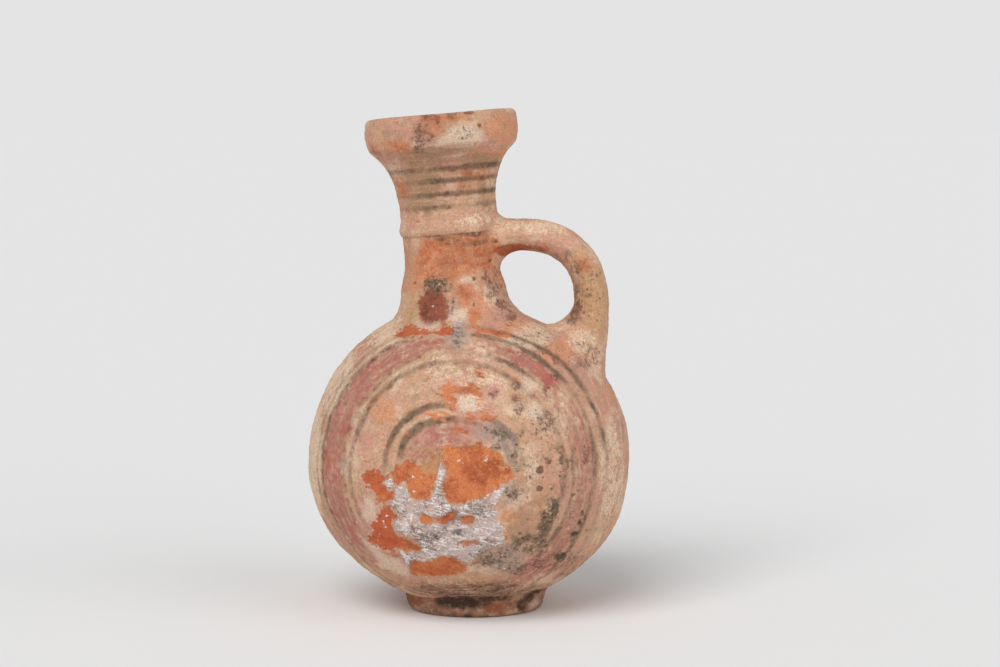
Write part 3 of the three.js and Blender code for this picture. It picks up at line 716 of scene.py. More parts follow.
def straight(*corners):
    """A hidden stretch through corners."""
    return joined(*[curve(pair, COARSE_STEP * 3) for pair in zip(corners, corners[1:])])


def shoulder_lute(material):
    """The fillet of clay between the neck and the globe."""
    height = on_globe(LUTE_START)
    start = (LUTE_START, height - FEATHER)
    sunk_start = (LUTE_START - 1, height - 0.6)
    face = curve([start, (21.9, 57.3), LUTE_TOP], FINE_STEP)
    back = straight(LUTE_TOP, (LUTE_TOP_RADIUS + 0.2, 61), (21.6, 57.2), sunk_start, start)
    neck_piece("shoulder_lute", [(face, True), (back, False)], material)


def neck_lower(material):
    """The lower stage of the neck, with its bore."""
    bore_foot = (NECK_BORE, on_globe(NECK_BORE))
    taper = curve([LUTE_TOP, (19.9, 70.8), (18.5, 74), WAIST], FINE_STEP)
    shank = curve([WAIST, RIDGE_LOW], FINE_STEP)
    joint = straight(RIDGE_LOW, REBATE_LOW, REBATE_MIDDLE, BORE_JOINT)
    bore = curve([BORE_JOINT, bore_foot], COARSE_STEP)
    seat = straight(bore_foot, (21.2, 57.5), (LUTE_TOP_RADIUS - 0.2, 61), LUTE_TOP)
    loop = [(joined(taper, shank), True), (joint, False), (bore, True), (seat, False)]
    neck_piece("neck_lower", loop, material)


def neck_ridge(material):
    """The raised coil round the neck."""
    rise = curve([RIDGE_LOW, (RIDGE_RADIUS - 0.2, RIDGE_HEIGHT - 1.7), RIDGE_PEAK], FINE_STEP / 2)
    fall = curve([RIDGE_PEAK, (RIDGE_RADIUS - 0.05, RIDGE_HEIGHT + 1.4), RIDGE_HIGH], FINE_STEP / 2)
    back = straight(RIDGE_HIGH, REBATE_HIGH, REBATE_LOW, RIDGE_LOW)
    neck_piece("neck_ridge", [(joined(rise, fall), True), (back, False)], material)


def neck_upper(material):
    """The upper stage of the neck, with the lip's inner half, the funnel and the bore."""
    crown = (MOUTH_RADIUS + 1.4, LIP_HEIGHT)
    mouth = (MOUTH_RADIUS, LIP_HEIGHT - 1.4)
    throat = (NECK_BORE, LIP_HEIGHT - THROAT_DEPTH)
    shank = curve([RIDGE_HIGH, (18.45, 95), SHANK_TOP], FINE_STEP)
    flare = curve([SHANK_TOP, (18.8, 106), (20.3, 113.6), COLLAR_FOOT], FINE_STEP)
    behind_collar = straight(COLLAR_FOOT, LIP_SEAM)
    lip = curve([LIP_SEAM, crown], FINE_STEP)
    edge = curve([crown, (MOUTH_RADIUS + 0.1, LIP_HEIGHT), mouth], FINE_STEP / 2)
    funnel_bends = [(MOUTH_RADIUS, LIP_HEIGHT - 12), (NECK_BORE, throat[1] + 15)]
    funnel = curve([mouth, *funnel_bends, throat], FINE_STEP * 1.5)
    bore = curve([throat, BORE_JOINT], COARSE_STEP)
    joint = straight(BORE_JOINT, REBATE_MIDDLE, REBATE_HIGH, RIDGE_HIGH)
    outside, inside = joined(shank, flare), joined(lip, edge, funnel, bore)
    loop = [(outside, True), (behind_collar, False), (inside, True), (joint, False)]
    neck_piece("neck_upper", loop, material)


def rim_collar(material):
    """The collar round the mouth, with the lip's outer half."""
    cheek, brow, crown = (28.8, 123.4), (28.9, 129), (26.8, LIP_HEIGHT)
    face = joined(
        curve([COLLAR_FOOT, (28.4, 120.2), cheek], FINE_STEP),
        curve([cheek, (COLLAR_RADIUS + 0.1, 126), brow], FINE_STEP),
        curve([brow, (28.6, LIP_HEIGHT), crown], FINE_STEP / 2),
        curve([crown, LIP_SEAM], FINE_STEP),
    )
    back = straight(LIP_SEAM, COLLAR_FOOT)
    neck_piece("rim_collar", [(face, True), (back, False)], material)


def globe_surface(directions, wall):
    """Points of the globe, or of its inside where wall is its thickness, in the given directions."""
    depth = np.where(directions[..., 2] < 0, GLOBE_DROP, GLOBE_RADIUS)
    across = (directions[..., 0] ** 2 + directions[..., 1] ** 2) / GLOBE_RADIUS ** 2
    reach = 1 / np.sqrt(across + (directions[..., 2] / depth) ** 2)
    return directions * (reach - wall)[..., None]


def body_globe(material):
    """The hollow globe: up its outside from below to the neck's hole, and down its inside again."""
    even = turns_round(GLOBE_SEGMENTS)
    turns = even - FRONT_CROWDING * np.cos(even)
    hole = np.arcsin(NECK_BORE / GLOBE_RADIUS)
    polar_out = np.linspace(pi, hole, GLOBE_ROWS_OUT)[1:]
    polar_in = np.linspace(hole, pi, GLOBE_ROWS_IN)[:-1]
    polar = np.concatenate([polar_out, polar_in])
    wall = np.concatenate([0 * polar_out, 0 * polar_in + GLOBE_WALL])
    directions = place_on_neck(np.stack([np.sin(polar), np.cos(polar)], -1), turns)
    grid = globe_surface(directions, wall[:, None])
    poles = [globe_surface(-NECK_AXIS[None], thickness) for thickness in (0.0, GLOBE_WALL)]
    points = np.concatenate([grid.reshape(-1, 3), *poles])
    shown = np.concatenate([np.repeat(wall == 0, GLOBE_SEGMENTS), [True, False]])
    faces = tube_faces(len(grid), GLOBE_SEGMENTS)
    ways = outward(points) * shown[:, None]
    make_piece("body_globe", points, faces, ways, material)


def foot_ring(material):
    """The ring foot. Its top follows the globe's underside, a little inside the wall."""
    turns = turns_round(FOOT_SEGMENTS)
    floor = -CENTRE_HEIGHT
    low = floor + FOOT_BEVEL

    def under_globe(radius):
        x, y = FOOT_OFFSET + radius * np.cos(turns), radius * np.sin(turns)
        return -GLOBE_DROP * np.sqrt(1 - (x * x + y * y) / GLOBE_RADIUS ** 2)

    outer_top = under_globe(FOOT_TOP_RADIUS)
    inner_top = under_globe(FOOT_BORE)
    rows = [
        (FOOT_BORE, inner_top + 1.0), (FOOT_BORE, inner_top), (FOOT_BORE + 0.1, floor + 0.9),
        (FOOT_BORE + 0.4, floor + 0.3), (FOOT_BORE + 1.0, floor), (FOOT_RADIUS - 2.4, floor),
        (FOOT_RADIUS - 1.5, floor + 0.15), (FOOT_RADIUS - 0.8, floor + 0.5),
        (FOOT_RADIUS - 0.3, floor + 1.1), (FOOT_RADIUS, low),
    ]
    for share in np.linspace(0, 1, FOOT_ROWS)[1:]:
        lean = share ** 1.6 * (FOOT_TOP_RADIUS - FOOT_RADIUS)
        rows.append((FOOT_RADIUS + lean, low + share * (outer_top + 0.2 - low)))
    rows.append((FOOT_TOP_RADIUS + 0.8, outer_top + 1.6))
    rows.append((FOOT_TOP_RADIUS - 1.0, outer_top + 1.8))
    grid = np.stack([
        np.stack([FOOT_OFFSET + r * np.cos(turns), r * np.sin(turns), z + 0 * turns], -1) for r, z in rows
    ])
    points = grid.reshape(-1, 3)
    weight = smooth(points[:, 2], floor + 0.2, floor + 2.5)
    ways = unit((points - (FOOT_OFFSET, 0, 0)) * (1, 1, 0)) * weight[:, None]
    lumps = ways * (FOOT_LUMPS * waves(points, 9, 21))[:, None]
    faces = grid_faces(len(grid), FOOT_SEGMENTS)
    make_piece("foot_ring", points, [faces], ways, material, lumps)


# The handle and the clay round its roots

def handle_line():
    """The handle's middle line in its plane, from inside the neck to inside the globe, and lengths."""
    crest = HANDLE_CREST
    bends = [
        [(-2, crest), (20, crest)],
        [(20, crest), (39.0, crest + 0.4), (47.2, 76.2), (47.0, 57.5)],
        [(47.0, 57.5), (47.0, 50), (46.2, 46), (45.4, 41)],
        [(45.4, 41), (41.6, 20)],
    ]
    line = joined(*[curve(bend, LINE_STEP) for bend in bends])
    length = np.concatenate([[0], np.cumsum(np.linalg.norm(np.diff(line, axis=0), axis=1))])
    return line, length


LINE, LINE_LENGTH = handle_line()
LINE_REACH = 1.5


def line_at(length):
    """Places on the handle's middle line at lengths along it."""
    return np.stack([np.interp(length, LINE_LENGTH, part) for part in LINE.T])


def flank(length, turn, grow=0.0):
    """Points on the handle's side at lengths along its line and angles round it, and the ways off it."""
    x, z = line_at(length)
    ahead_x, ahead_z = line_at(length + LINE_REACH) - line_at(length - LINE_REACH)
    size = np.hypot(ahead_x, ahead_z)
    out_x, out_z = -ahead_z / size, ahead_x / size
    across = np.cos(turn) * (HANDLE_HALF_DEPTH + grow)
    aside = np.sin(turn) * (HANDLE_HALF_WIDTH + grow)
    points = np.stack([x + out_x * across, aside, z + out_z * across], -1)
    normal_across = np.cos(turn) / HANDLE_HALF_DEPTH
    normal_aside = np.sin(turn) / HANDLE_HALF_WIDTH
    return points, unit(np.stack([out_x * normal_across, normal_aside, out_z * normal_across], -1))


# The neck's outside, as distances off its axis and heights along it
NECK_SIDE = np.array([
    (21.6, 57.4), LUTE_TOP, (19.5, 71.5), (18.6, 76), WAIST, RIDGE_LOW, RIDGE_PEAK, RIDGE_HIGH, SHANK_TOP,
    (19.2, 105),
])


def neck_wall(points):
    """How far points stand out of the neck, where the handle's upper root is, and the ways off it."""
    off = off_axis(points)
    side = np.interp(points @ NECK_AXIS, NECK_SIDE[:, 1], NECK_SIDE[:, 0])
    return np.linalg.norm(off, axis=-1) - side, unit(off)


def globe_wall(points):
    """How far points stand out of the globe, where the handle's lower root is, and the ways off it."""
    return np.linalg.norm(points, axis=-1) - GLOBE_RADIUS, unit(points)


def leaving_lengths(wall, turns, from_start, depth):
    """For each angle round the handle, the length along it at which its side is at a depth in a wall."""
    lengths = np.linspace(0, LINE_LENGTH[-1], 1600)
    middle = LINE_LENGTH[-1] / 2
    found = []
    for turn in turns:
        points, _ = flank(lengths, np.full(len(lengths), turn))
        outside, _ = wall(points)
        buried = outside < -depth
        if from_start:
            found.append(lengths[buried & (lengths < middle)].max())
        else:
            found.append(lengths[buried & (lengths > middle)].min())
    return np.array(found)


def handle(material):
    """The strap, from inside the neck's wall to inside the globe's, with brush strokes along it."""
    turns = turns_round(HANDLE_SEGMENTS)
    first = leaving_lengths(neck_wall, turns, True, ROOT_DEPTH)
    last = leaving_lengths(globe_wall, turns, False, ROOT_DEPTH)
    lengths = first + np.linspace(0, 1, HANDLE_ROWS)[:, None] * (last - first)
    all_turns = np.broadcast_to(turns, lengths.shape)
    grid, normals = flank(lengths, all_turns)
    strokes = np.stack([5 * np.cos(all_turns), 6 * np.sin(all_turns), lengths / 12], -1)
    poles = np.stack([grid[0].mean(0), grid[-1].mean(0)])
    points = np.concatenate([grid.reshape(-1, 3), poles])
    ways = np.concatenate([normals.reshape(-1, 3), 0 * poles])
    brush = np.concatenate([strokes.reshape(-1, 3), 0 * poles])
    faces = tube_faces(HANDLE_ROWS, HANDLE_SEGMENTS)
    make_piece("handle", points, faces, ways, material, brush=brush)


def root_lute(name, wall, from_start, sizes, material):
    """Clay that fills the corner round one root of the handle and runs out thinly on both.

    Sizes are how far it spreads over the wall, how far up the handle, and how full it is, on its outer
    side, flanks and inner side.
    """
    turns = turns_round(LUTE_SEGMENTS)
    way = 1.0 if from_start else -1.0
    root = leaving_lengths(wall, turns, from_start, 0.0)
    outer, flanks, inner = sizes
    spread, reach, fill = (
        np.interp(turns, turns_round(4), side_sizes, period=2 * pi)
        for side_sizes in zip(outer, flanks, inner, flanks)
    )
    corner, normals = flank(root, turns)
    spreading = normals * spread[:, None]

    def settle(points, depth):
        for _ in range(3):
            outside, away = wall(points)
            points = points - away * (outside + depth)[:, None]
        return points

    edge = settle(corner + spreading, FEATHER)
    tip, _ = flank(root + way * reach, turns, -FEATHER)
    hollow = corner + fill[:, None] * (tip - corner) + 0.1 * spreading
    share = np.linspace(0, 1, LUTE_ROWS)[:, None, None]
    face = (1 - share) ** 2 * edge + 2 * share * (1 - share) * hollow + share ** 2 * tip
    sunk_tip, _ = flank(root + way * reach * 0.9, turns, -SUNK)
    sunk_corner, _ = flank(root, turns, -SUNK)
    back = np.stack([sunk_tip, settle(sunk_corner, SUNK), settle(corner + 0.9 * spreading, SUNK)])
    points = np.concatenate([face, back]).reshape(-1, 3)
    _, off_wall = wall(edge)
    mixed = unit((1 - share) * off_wall + share * normals)
    ways = np.concatenate([mixed, 0 * back]).reshape(-1, 3)
    faces = grid_faces(len(face) + len(back), LUTE_SEGMENTS)
    make_piece(name, points, [faces], ways, material)


# Materials

def colour(red, green, blue):
    """A shader colour from the screen's 0 to 255."""
    parts = [c / 255 for c in (red, green, blue)]
    return tuple(c / 12.92 if c <= 0.04045 else ((c + 0.055) / 1.055) ** 2.4 for c in parts) + (1.0,)


PEACH = colour(197, 155, 126)
ROSE = colour(197, 147, 125)
CREAM_SLIP = colour(223, 196, 168)
OCHRE_SLIP = colour(190, 148, 105)
WARM_SLIP = colour(211, 146, 108)
TAN_SLIP = colour(164, 128, 98)
OLIVE_FILM = colour(158, 138, 106)
CHALK_PINK = colour(200, 141, 128)
ORANGE_CLAY = colour(204, 120, 76)
DEEP_ORANGE = colour(166, 87, 54)
PALE_ORANGE = colour(192, 129, 93)
OCHRE_CLAY = colour(196, 124, 68)
WASH_BROWN = colour(178, 116, 82)
RUST = colour(146, 70, 46)
RED_CLAY = colour(186, 90, 58)
MAROON_STAIN = colour(134, 68, 50)
DEEP_MAROON = colour(104, 50, 38)
RED_PAINT = colour(164, 105, 94)
DEEP_RED = colour(174, 88, 81)
DARK_PAINT = colour(116, 93, 74)
BLACK_PAINT = colour(80, 63, 51)
LIME_WHITE = colour(228, 219, 217)
LIME_PINK = colour(191, 171, 165)
LIME_GREY = colour(134, 120, 111)
GREY_STAIN = colour(154, 139, 131)
PURPLE_STAIN = colour(104, 70, 60)
SOOT_BLACK = colour(74, 60, 50)
SOOT_SMEAR = colour(110, 92, 75)
SOOT_CRUST = colour(74, 61, 48)
# Browns of burial dirt and painted shade; the darker one paints the groove under the globe
BURIAL_DIRT_AND_SHADE = colour(104, 78, 58)
GROOVE_DIRT_AND_SHADE = colour(52, 40, 30)
SPOT_BROWN = colour(106, 78, 62)
FOOT_BROWN = colour(122, 78, 57)
FLOOR_WHITE = colour(246, 246, 246)

# Tints over the slip: value, colour and strength
SLIP_TINTS = [
    ("ochre", OCHRE_SLIP, 0.85), ("pink", CHALK_PINK, 0.75), ("warm", WARM_SLIP, 0.85),
    ("tan", TAN_SLIP, 0.85), ("pale", CREAM_SLIP, 0.85),
]
STROKE_SLANT = radians(12)
SEED_STEP = 3.7
CLOUD_EDGE = 0.28
CLOUD_LOW, CLOUD_HIGH = 0.35, 0.7
CLAY_ROUGHNESS = 0.9
CLAY_SHINE = 0.25
BUMP_STRENGTH = 0.8


class Shader:
    """Short ways to add and join the nodes of a material or a world.

    A value is a number, a colour or a node's output.
    """

    def __init__(self, owner):
        owner.use_nodes = True
        self.owner = owner
        self.tree = owner.node_tree
        self.tree.nodes.clear()

    def add(self, kind, inputs, **settings):
        """A node with its settings and its inputs, which go by name or number."""
        node = self.tree.nodes.new(kind)
        for key, value in settings.items():
            setattr(node, key, value)
        for key, value in inputs.items():
            if isinstance(value, bpy.types.NodeSocket):
                self.tree.links.new(value, node.inputs[key])
            else:
                node.inputs[key].default_value = value
        return node

    def math(self, operation, a, b=0.0):
        return self.add("ShaderNodeMath", {0: a, 1: b}, operation=operation).outputs[0]

    def product(self, first, *others):
        for other in others:
            first = self.math("MULTIPLY", first, other)
        return first

    def step(self, value, low, high, to_low=0.0, to_high=1.0):
        """An even S from one level to another as a value goes from low to high."""
        inputs = {"Value": value, "From Min": low, "From Max": high, "To Min": to_low, "To Max": to_high}
        return self.add("ShaderNodeMapRange", inputs, interpolation_type="SMOOTHSTEP").outputs[0]

    def mix(self, share, a, b, blend="MIX"):
        inputs = {0: share, 6: a, 7: b}
        return self.add("ShaderNodeMix", inputs, data_type="RGBA", blend_type=blend).outputs[2]

    def laid(self, tone, tint, *masks):
        """A tone with a tint over it, as far as all masks let it through."""
        return self.mix(self.product(*masks), tone, tint)

    def over(self, tone, tint, value, low, high, most=1.0):
        """A tone with a tint over it that comes in as a value goes from low to high."""
        return self.laid(tone, tint, self.step(value, low, high, 0.0, most))

    def uneven(self, value, *noises):
        """A value with noises added, each taken from its middle and multiplied by its weight."""
        for noise, weight in noises:
            part = self.math("MULTIPLY", self.math("SUBTRACT", noise, 0.5), weight)
            value = self.math("ADD", value, part)
        return value

    def field(self, name, output="Fac"):
        return self.add("ShaderNodeAttribute", {}, attribute_name=name).outputs[output]

    def finish(self, tone, roughness, shine, **relief):
        """The material, with its colour joined to its surface."""
        inputs = {"Base Color": tone, "Roughness": roughness, "Specular IOR Level": shine, **relief}
        surface = self.add("ShaderNodeBsdfPrincipled", inputs)
        self.add("ShaderNodeOutputMaterial", {"Surface": surface.outputs[0]})
        return self.owner


class Clay(Shader):
    """Worn, painted earthenware. All clays share its layers, so colours run on over the joins."""

    def __init__(self, name):
        """The noises that the layers share, from 30 mm down to dust. Their order sets their seeds."""
        super().__init__(bpy.data.materials.new(name))
        self.seed = 0
        place = self.add("ShaderNodeTexCoord", {}).outputs["Object"]
        scale = {0: place, "Scale": 1 / MM}
        self.point = self.add("ShaderNodeVectorMath", scale, operation="SCALE").outputs[0]
        slant = {"Vector": self.point, "Angle": -STROKE_SLANT}
        slanted = self.add("ShaderNodeVectorRotate", slant, rotation_type="Y_AXIS").outputs[0]
        self.cloud = self.noise(30, 4, 0.55)
        self.patch = self.noise(9, 4, 0.55)
        self.wear = self.noise(4.2, 6, 0.66)
        self.mottle = self.noise(2.2, 4, 0.62)
        self.film = self.noise(2.8, 5, 0.64)
        self.fine = self.noise(1.2, 4, 0.66)
        self.dust = self.noise(0.6, 2, 0.6)
        self.brushed = self.noise(0.8, 3, 0.6, self.field("brush", "Vector"))
        self.strokes = self.noise(1, 4, 0.6, slanted, (5.0, 5.0, 0.8))
        self.scratches = self.noise(0.8, 3, 0.6, slanted, (4.0, 4.0, 0.8))
        self.edge = self.uneven(0.0, (self.wear, 5.5), (self.fine, 4.2), (self.dust, 1.6))
        grains = (self.mottle, 3.0), (self.fine, 5.5), (self.dust, 3.0)
        self.jagged = self.uneven(0.0, (self.wear, 5.0), *grains)

    def noise(self, size, detail, rough, place=None, stretch=None):
        """Clouds of a size in millimetres, round 0.5, with a seed of their own."""
        place = place or self.point
        if stretch:
            squeeze = {0: place, 1: stretch}
            place = self.add("ShaderNodeVectorMath", squeeze, operation="DIVIDE").outputs[0]
        self.seed += 1
        inputs = {
            "Vector": place, "W": SEED_STEP * self.seed, "Scale": 1 / size, "Detail": detail,
            "Roughness": rough,
        }
        return self.add("ShaderNodeTexNoise", inputs, noise_dimensions="4D").outputs[0]

    def clouded(self, name, most=1.0):
        """A mask with patchy edges from a value between 0 and 1."""
        value = self.math("ADD", self.field(name), self.product(self.edge, CLOUD_EDGE))
        return self.step(value, CLOUD_LOW, CLOUD_HIGH, 0.0, most)

    def ragged(self, name, edge, soft):
        """A mask with a ragged edge from a value that says how far inside a patch a point lies."""
        return self.step(self.math("ADD", self.field(name), edge), -soft, soft)

    def slip(self):
        """The pale slip: peach, rose and cream in clouds, tinted, with strokes and a fine mottle."""
        tone = self.over(PEACH, ROSE, self.cloud, 0.42, 0.6)
        tone = self.over(tone, CREAM_SLIP, self.patch, 0.48, 0.64, 0.6)
        # The pale tint also paints light on the shoulder and right edge, and the tan tint paints shade
        # under the collar and on the neck's right.
        for name, tint, most in SLIP_TINTS:
            tone = self.laid(tone, tint, self.clouded(name, most))
        tone = self.over(tone, OLIVE_FILM, self.film, 0.52, 0.66, 0.66)
        tone = self.over(tone, CHALK_PINK, self.mottle, 0.53, 0.66, 0.62)
        tone = self.over(tone, TAN_SLIP, self.brushed, 0.53, 0.68, 0.25)
        return self.over(tone, CREAM_SLIP, self.brushed, 0.46, 0.32, 0.22)

    def bare_orange(self):
        """The bare clay under the slip: orange with rust and paler grains."""
        tone = self.over(DEEP_ORANGE, ORANGE_CLAY, self.patch, 0.34, 0.58)
        tone = self.over(tone, OCHRE_CLAY, self.film, 0.5, 0.64, 0.55)
        tone = self.over(tone, PALE_ORANGE, self.fine, 0.5, 0.68, 0.6)
        tone = self.laid(tone, OCHRE_SLIP, self.clouded("ochre", 0.7))
        tone = self.laid(tone, RED_CLAY, self.clouded("fired", 0.75))
        return self.over(tone, RUST, self.mottle, 0.53, 0.66, 0.5)

    def red_bands(self, tone):
        """Red paint in bands, worn to grains and patches."""
        left = self.field("red_left")
        kept = self.uneven(left, (self.mottle, 1.7), (self.brushed, 0.6), (self.dust, 1.5))
        red = self.over(RED_PAINT, DEEP_RED, self.uneven(left, (self.wear, 2.0)), 0.7, 1.1)
        kept = self.step(kept, 0.28, 0.98, 0.0, 0.88)
        return self.laid(tone, red, self.ragged("red", self.edge, 0.9), kept)

    def dark_lines(self, tone):
        """Dark paint in lines, worn to grains."""
        left = self.field("line_left")
        kept = self.uneven(left, (self.mottle, 0.8), (self.fine, 0.7), (self.dust, 0.7))
        sway = self.uneven(0.0, (self.wear, 2.0), (self.fine, 1.4))
        dark = self.over(DARK_PAINT, BLACK_PAINT, self.mottle, 0.48, 0.62)
        kept = self.step(kept, 0.08, 0.9, 0.0, 0.9)
        return self.laid(tone, dark, self.ragged("line", sway, 0.7), kept)

    def rubbed(self, tone, orange):
        """Washes of orange, slip rubbed off in streaks, painted shade under the handle's top, deeper
        orange on the foot and small chips.
        """
        wash = self.over(WASH_BROWN, ORANGE_CLAY, self.patch, 0.42, 0.64)
        wash = self.over(wash, DEEP_ORANGE, self.mottle, 0.42, 0.62, 0.7)
        thin = self.step(self.film, 0.36, 0.56, 0.45, 0.9)
        tone = self.laid(tone, wash, self.ragged("orange", self.edge, 2.2), thin)
        streaks = self.uneven(self.edge, (self.strokes, 8.0))
        tone = self.laid(tone, orange, self.ragged("rubbed", streaks, 0.5), 0.9)
        # Painted shade under the handle's top, and deeper orange on the foot
        tone = self.laid(tone, DEEP_ORANGE, self.clouded("underside", 0.9))
        return self.over(tone, orange, self.noise(3.0, 5, 0.65), 0.62, 0.67, 0.8)

    def stained(self, tone):
        """Grey, purple and maroon stains and burial dirt, with painted shade under the neck's ridge, in
        the groove under the globe and low on the body.
        """
        thin = self.step(self.fine, 0.38, 0.56, 0.3, 0.75)
        tone = self.laid(tone, GREY_STAIN, self.ragged("grey", self.edge, 2.6), thin)
        thin = self.step(self.fine, 0.36, 0.58, 0.15, 0.8)
        # Stains, with a painted shadow under the neck's ridge
        tone = self.laid(tone, PURPLE_STAIN, self.clouded("stain_and_shade"), thin)
        thin = self.step(self.fine, 0.36, 0.6, 0.25, 0.85)
        tone = self.laid(tone, PURPLE_STAIN, self.ragged("purple", self.jagged, 1.1), thin)
        maroon = self.over(MAROON_STAIN, DEEP_MAROON, self.film, 0.44, 0.58)
        maroon = self.over(maroon, DEEP_ORANGE, self.fine, 0.52, 0.68, 0.55)
        tone = self.laid(tone, maroon, self.ragged("maroon", self.jagged, 1.0), 0.92)
        # Burial dirt and painted shade: brown, then near black in the groove under the globe
        grains = (self.brushed, 0.7), (self.wear, 1.2), (self.fine, 1.8), (self.dust, 0.8)
        dirt_and_shade = self.uneven(self.field("dirt_and_shade"), *grains)
        tone = self.over(tone, BURIAL_DIRT_AND_SHADE, dirt_and_shade, 0.3, 0.95, 0.8)
        return self.over(tone, GROOVE_DIRT_AND_SHADE, dirt_and_shade, 0.72, 1.25, 0.85)

    def creamed(self, tone):
        """Patches of thick cream slip, grained with pink."""
        cream = self.over(CREAM_SLIP, LIME_PINK, self.fine, 0.44, 0.6, 0.8)
        return self.laid(tone, cream, self.ragged("cream", self.edge, 1.2), 0.75)

    def flaked(self, tone, orange):
        """Places where the slip has come off, here and there with a painted highlight along the broken
        edge.
        """
        depth = self.math("ADD", self.field("flake"), self.jagged)
        # A painted highlight along the flakes' broken edges
        from_rim = self.math("ABSOLUTE", self.math("ADD", depth, 0.35))
        rim = self.step(from_rim, 0.4, 0.05, 0.0, 0.6)
        tone = self.laid(tone, CREAM_SLIP, rim, self.step(self.film, 0.48, 0.6))
        flake = self.step(depth, -0.14, 0.14)
        return self.laid(tone, orange, flake), flake

    def crusted(self, tone, flake):
        """Lime crust round the flakes: grey and pink grains under slanting white strokes."""
        holes = self.step(self.film, 0.36, 0.44, 0.25, 0.95)
        unflaked = self.math("SUBTRACT", 1.0, flake)
        lime = self.product(self.ragged("lime", self.edge, 0.45), unflaked, holes)
        grains = self.uneven(0.5, (self.fine, 1.1), (self.dust, 0.6), (self.patch, 1.6))
        body = self.over(LIME_GREY, LIME_PINK, grains, 0.26, 0.56)
        strokes = self.uneven(0.5, (self.scratches, 1.2), (self.dust, 0.3), (self.wear, 0.8))
        body = self.over(body, LIME_WHITE, strokes, 0.46, 0.7)
        return self.laid(tone, body, lime), lime

    def specked(self, tone):
        """Soot in smears and specks, round brown spots, and small white chips and painted highlights."""
        soot = self.field("soot")
        smear = self.uneven(soot, (self.wear, 2.2), (self.fine, 2.4), (self.dust, 0.8))
        tone = self.over(tone, SOOT_SMEAR, smear, 0.48, 1.0, 0.75)
        tone = self.over(tone, SOOT_CRUST, smear, 0.95, 1.35, 0.85)
        grain = self.math("ADD", self.noise(1.3, 4, 0.66), self.product(soot, 0.16))
        specks = self.step(grain, 0.67, 0.74)
        tone = self.laid(tone, SOOT_BLACK, specks, 0.75)
        spots = self.uneven(self.field("spots"), (self.fine, 2.4))
        tone = self.over(tone, SPOT_BROWN, spots, -0.3, 0.3, 0.85)
        # White chips and painted highlights
        glints_and_chips = self.uneven(self.field("glints_and_chips"), (self.fine, 2.4))
        return self.over(tone, LIME_WHITE, glints_and_chips, -0.1, 0.4, 0.9), specks

    def bump(self, flake, lime, specks):
        """Fine relief: grains, sunken flakes and specks, and rough crust."""
        height = self.uneven(0.0, (self.dust, 0.1), (self.fine, 0.2), (self.film, 0.2))
        crust = self.product(lime, self.fine, 0.3)
        for part in (self.product(flake, -0.2), crust, self.product(specks, -0.08)):
            height = self.math("ADD", height, part)
        inputs = {"Height": height, "Distance": MM, "Strength": BUMP_STRENGTH}
        return self.add("ShaderNodeBump", inputs).outputs[0]


def clay(name, tint=None, share=0.0):
    """A clay's layers from the slip up, where a tint may stain the slip."""
    skin = Clay(name)
    tone = skin.slip()
    if tint:
        tone = skin.laid(tone, tint, skin.step(skin.wear, 0.36, 0.58, 0.4 * share, share))
    orange = skin.bare_orange()
    tone = skin.dark_lines(skin.red_bands(tone))
    tone = skin.creamed(skin.stained(skin.rubbed(tone, orange)))
    tone, flake = skin.flaked(tone, orange)
    tone, lime = skin.crusted(tone, flake)
    tone, specks = skin.specked(tone)
    grain = skin.uneven(1.0, (skin.dust, 1.1), (skin.fine, 0.55))
    tone = skin.mix(1.0, tone, grain, "MULTIPLY")
    return skin.finish(tone, CLAY_ROUGHNESS, CLAY_SHINE, Normal=skin.bump(flake, lime, specks))


# The studio. The camera's distances are in millimetres, and its lens and shifts in the picture's pixels.
FLOOR_RADIUS = 60.0
SKY_LIGHT, SKY_SEEN = 0.36, 0.774
PICTURE_WIDTH = 1000
SENSOR_WIDTH = 36.0
LENS = 2540.0
CAMERA_DISTANCE = 978.0
CAMERA_TURN, CAMERA_RISE = radians(6.0), radians(7.5)
SHIFT_RIGHT, SHIFT_UP = 30.5, 126.5


def make_floor():
    turns = turns_round(96)
    rim = np.stack([np.cos(turns), np.sin(turns), 0 * turns], -1) * FLOOR_RADIUS
    mesh = bpy.data.meshes.new("floor")
    mesh.from_pydata(rim.tolist(), [], [list(range(len(rim)))])
    pale = Shader(bpy.data.materials.new("pale_floor"))
    mesh.materials.append(pale.finish(FLOOR_WHITE, 1.0, 0.0))
    floor = add_object("floor", mesh)


def make_sun(name, way, strength, softness):
    """A broad, soft light from far off that shines along a way."""
    sun = bpy.data.lights.new(name, "SUN")
    sun.energy = strength
    sun.angle = radians(softness)
    sun_object = add_object(name, sun)
    sun_object.location = -Vector(way)
    sun_object.rotation_euler = Vector(way).to_track_quat("-Z", "Y").to_euler()


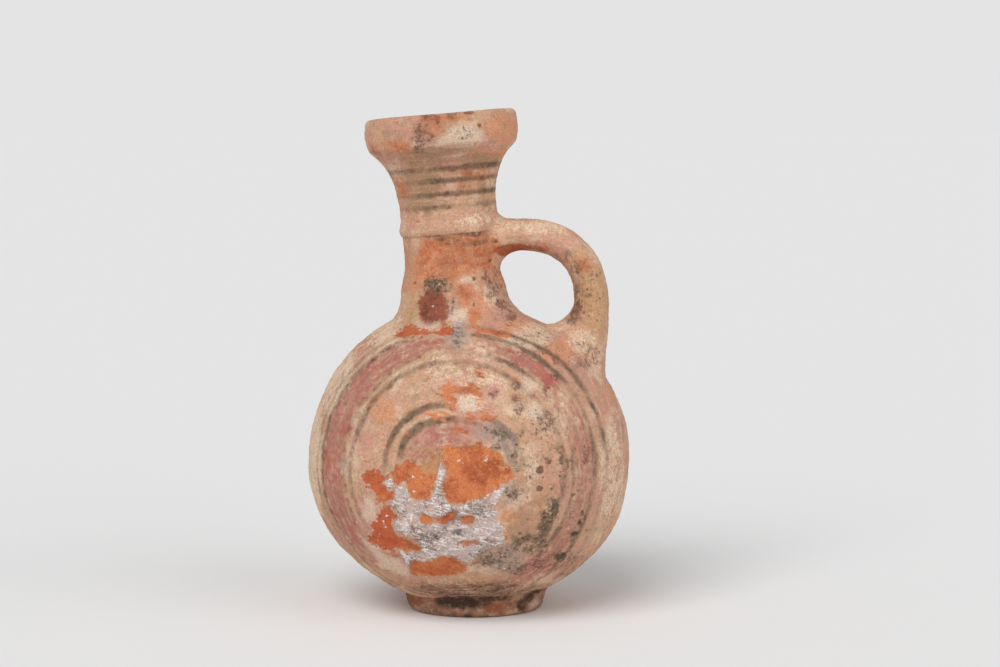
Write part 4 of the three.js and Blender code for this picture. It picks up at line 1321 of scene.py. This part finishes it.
def make_world():
    """An even white sky that lights the scene at one level and is seen, also in gloss, at another."""
    sky = Shader(bpy.data.worlds.new("studio"))
    rays = sky.add("ShaderNodeLightPath", {}).outputs
    shown = rays["Is Camera Ray"]
    for ray in ("Is Glossy Ray", "Is Transmission Ray"):
        shown = sky.math("MAXIMUM", shown, rays[ray])
    levels = {"Value": shown, "To Min": SKY_LIGHT, "To Max": SKY_SEEN}
    strength = sky.add("ShaderNodeMapRange", levels).outputs[0]
    white = sky.add("ShaderNodeBackground", {"Color": (1, 1, 1, 1), "Strength": strength})
    sky.add("ShaderNodeOutputWorld", {"Surface": white.outputs[0]})
    bpy.context.scene.world = sky.owner


def make_camera():
    """A camera where the photograph's stood, with the globe left of and below the picture's middle."""
    centre = Vector((0, 0, CENTRE_HEIGHT))
    level = cos(CAMERA_RISE)
    way = Vector((sin(CAMERA_TURN) * level, -cos(CAMERA_TURN) * level, sin(CAMERA_RISE)))
    right = way.cross(Vector((0, 0, -1))).normalized()
    up = way.cross(right)
    target = centre + (right * SHIFT_RIGHT + up * SHIFT_UP) * (CAMERA_DISTANCE / LENS)
    place = centre + way * CAMERA_DISTANCE
    camera = bpy.data.cameras.new("camera")
    camera.sensor_width = SENSOR_WIDTH
    camera.lens = SENSOR_WIDTH * LENS / PICTURE_WIDTH
    camera.clip_start = 0.01
    camera_object = add_object("camera", camera)
    camera_object.location = place * MM
    camera_object.rotation_euler = (target - place).to_track_quat("-Z", "Y").to_euler()
    bpy.context.scene.camera = camera_object


def make_studio():
    make_floor()
    make_sun("key", (0.24, 0.69, -0.68), 1.8, 40)
    make_sun("fill", (-0.80, 0.5, -0.28), 0.95, 60)
    make_world()
    make_camera()
    bpy.context.scene.view_settings.view_transform = "Standard"


def make_jug():
    painted = clay("painted_clay")
    bare = clay("bare_clay", PALE_ORANGE, 0.5)
    strap = clay("handle_clay", PEACH, 0.2)
    foot = clay("foot_clay", FOOT_BROWN, 0.8)
    body_globe(painted)
    shoulder_lute(painted)
    neck_lower(bare)
    neck_ridge(painted)
    neck_upper(painted)
    rim_collar(painted)
    foot_ring(foot)
    handle(strap)
    top_sizes = [(3.0, 3.5, 0.1), (4.0, 4.5, 0.1), (8.0, 8.5, 0.15)]
    base_sizes = [(6.0, 10.0, 0.12), (7.0, 10.0, 0.15), (14.0, 16.5, 0.45)]
    root_lute("handle_top_lute", neck_wall, True, top_sizes, strap)
    root_lute("handle_base_lute", globe_wall, False, base_sizes, strap)


make_jug()
make_studio()
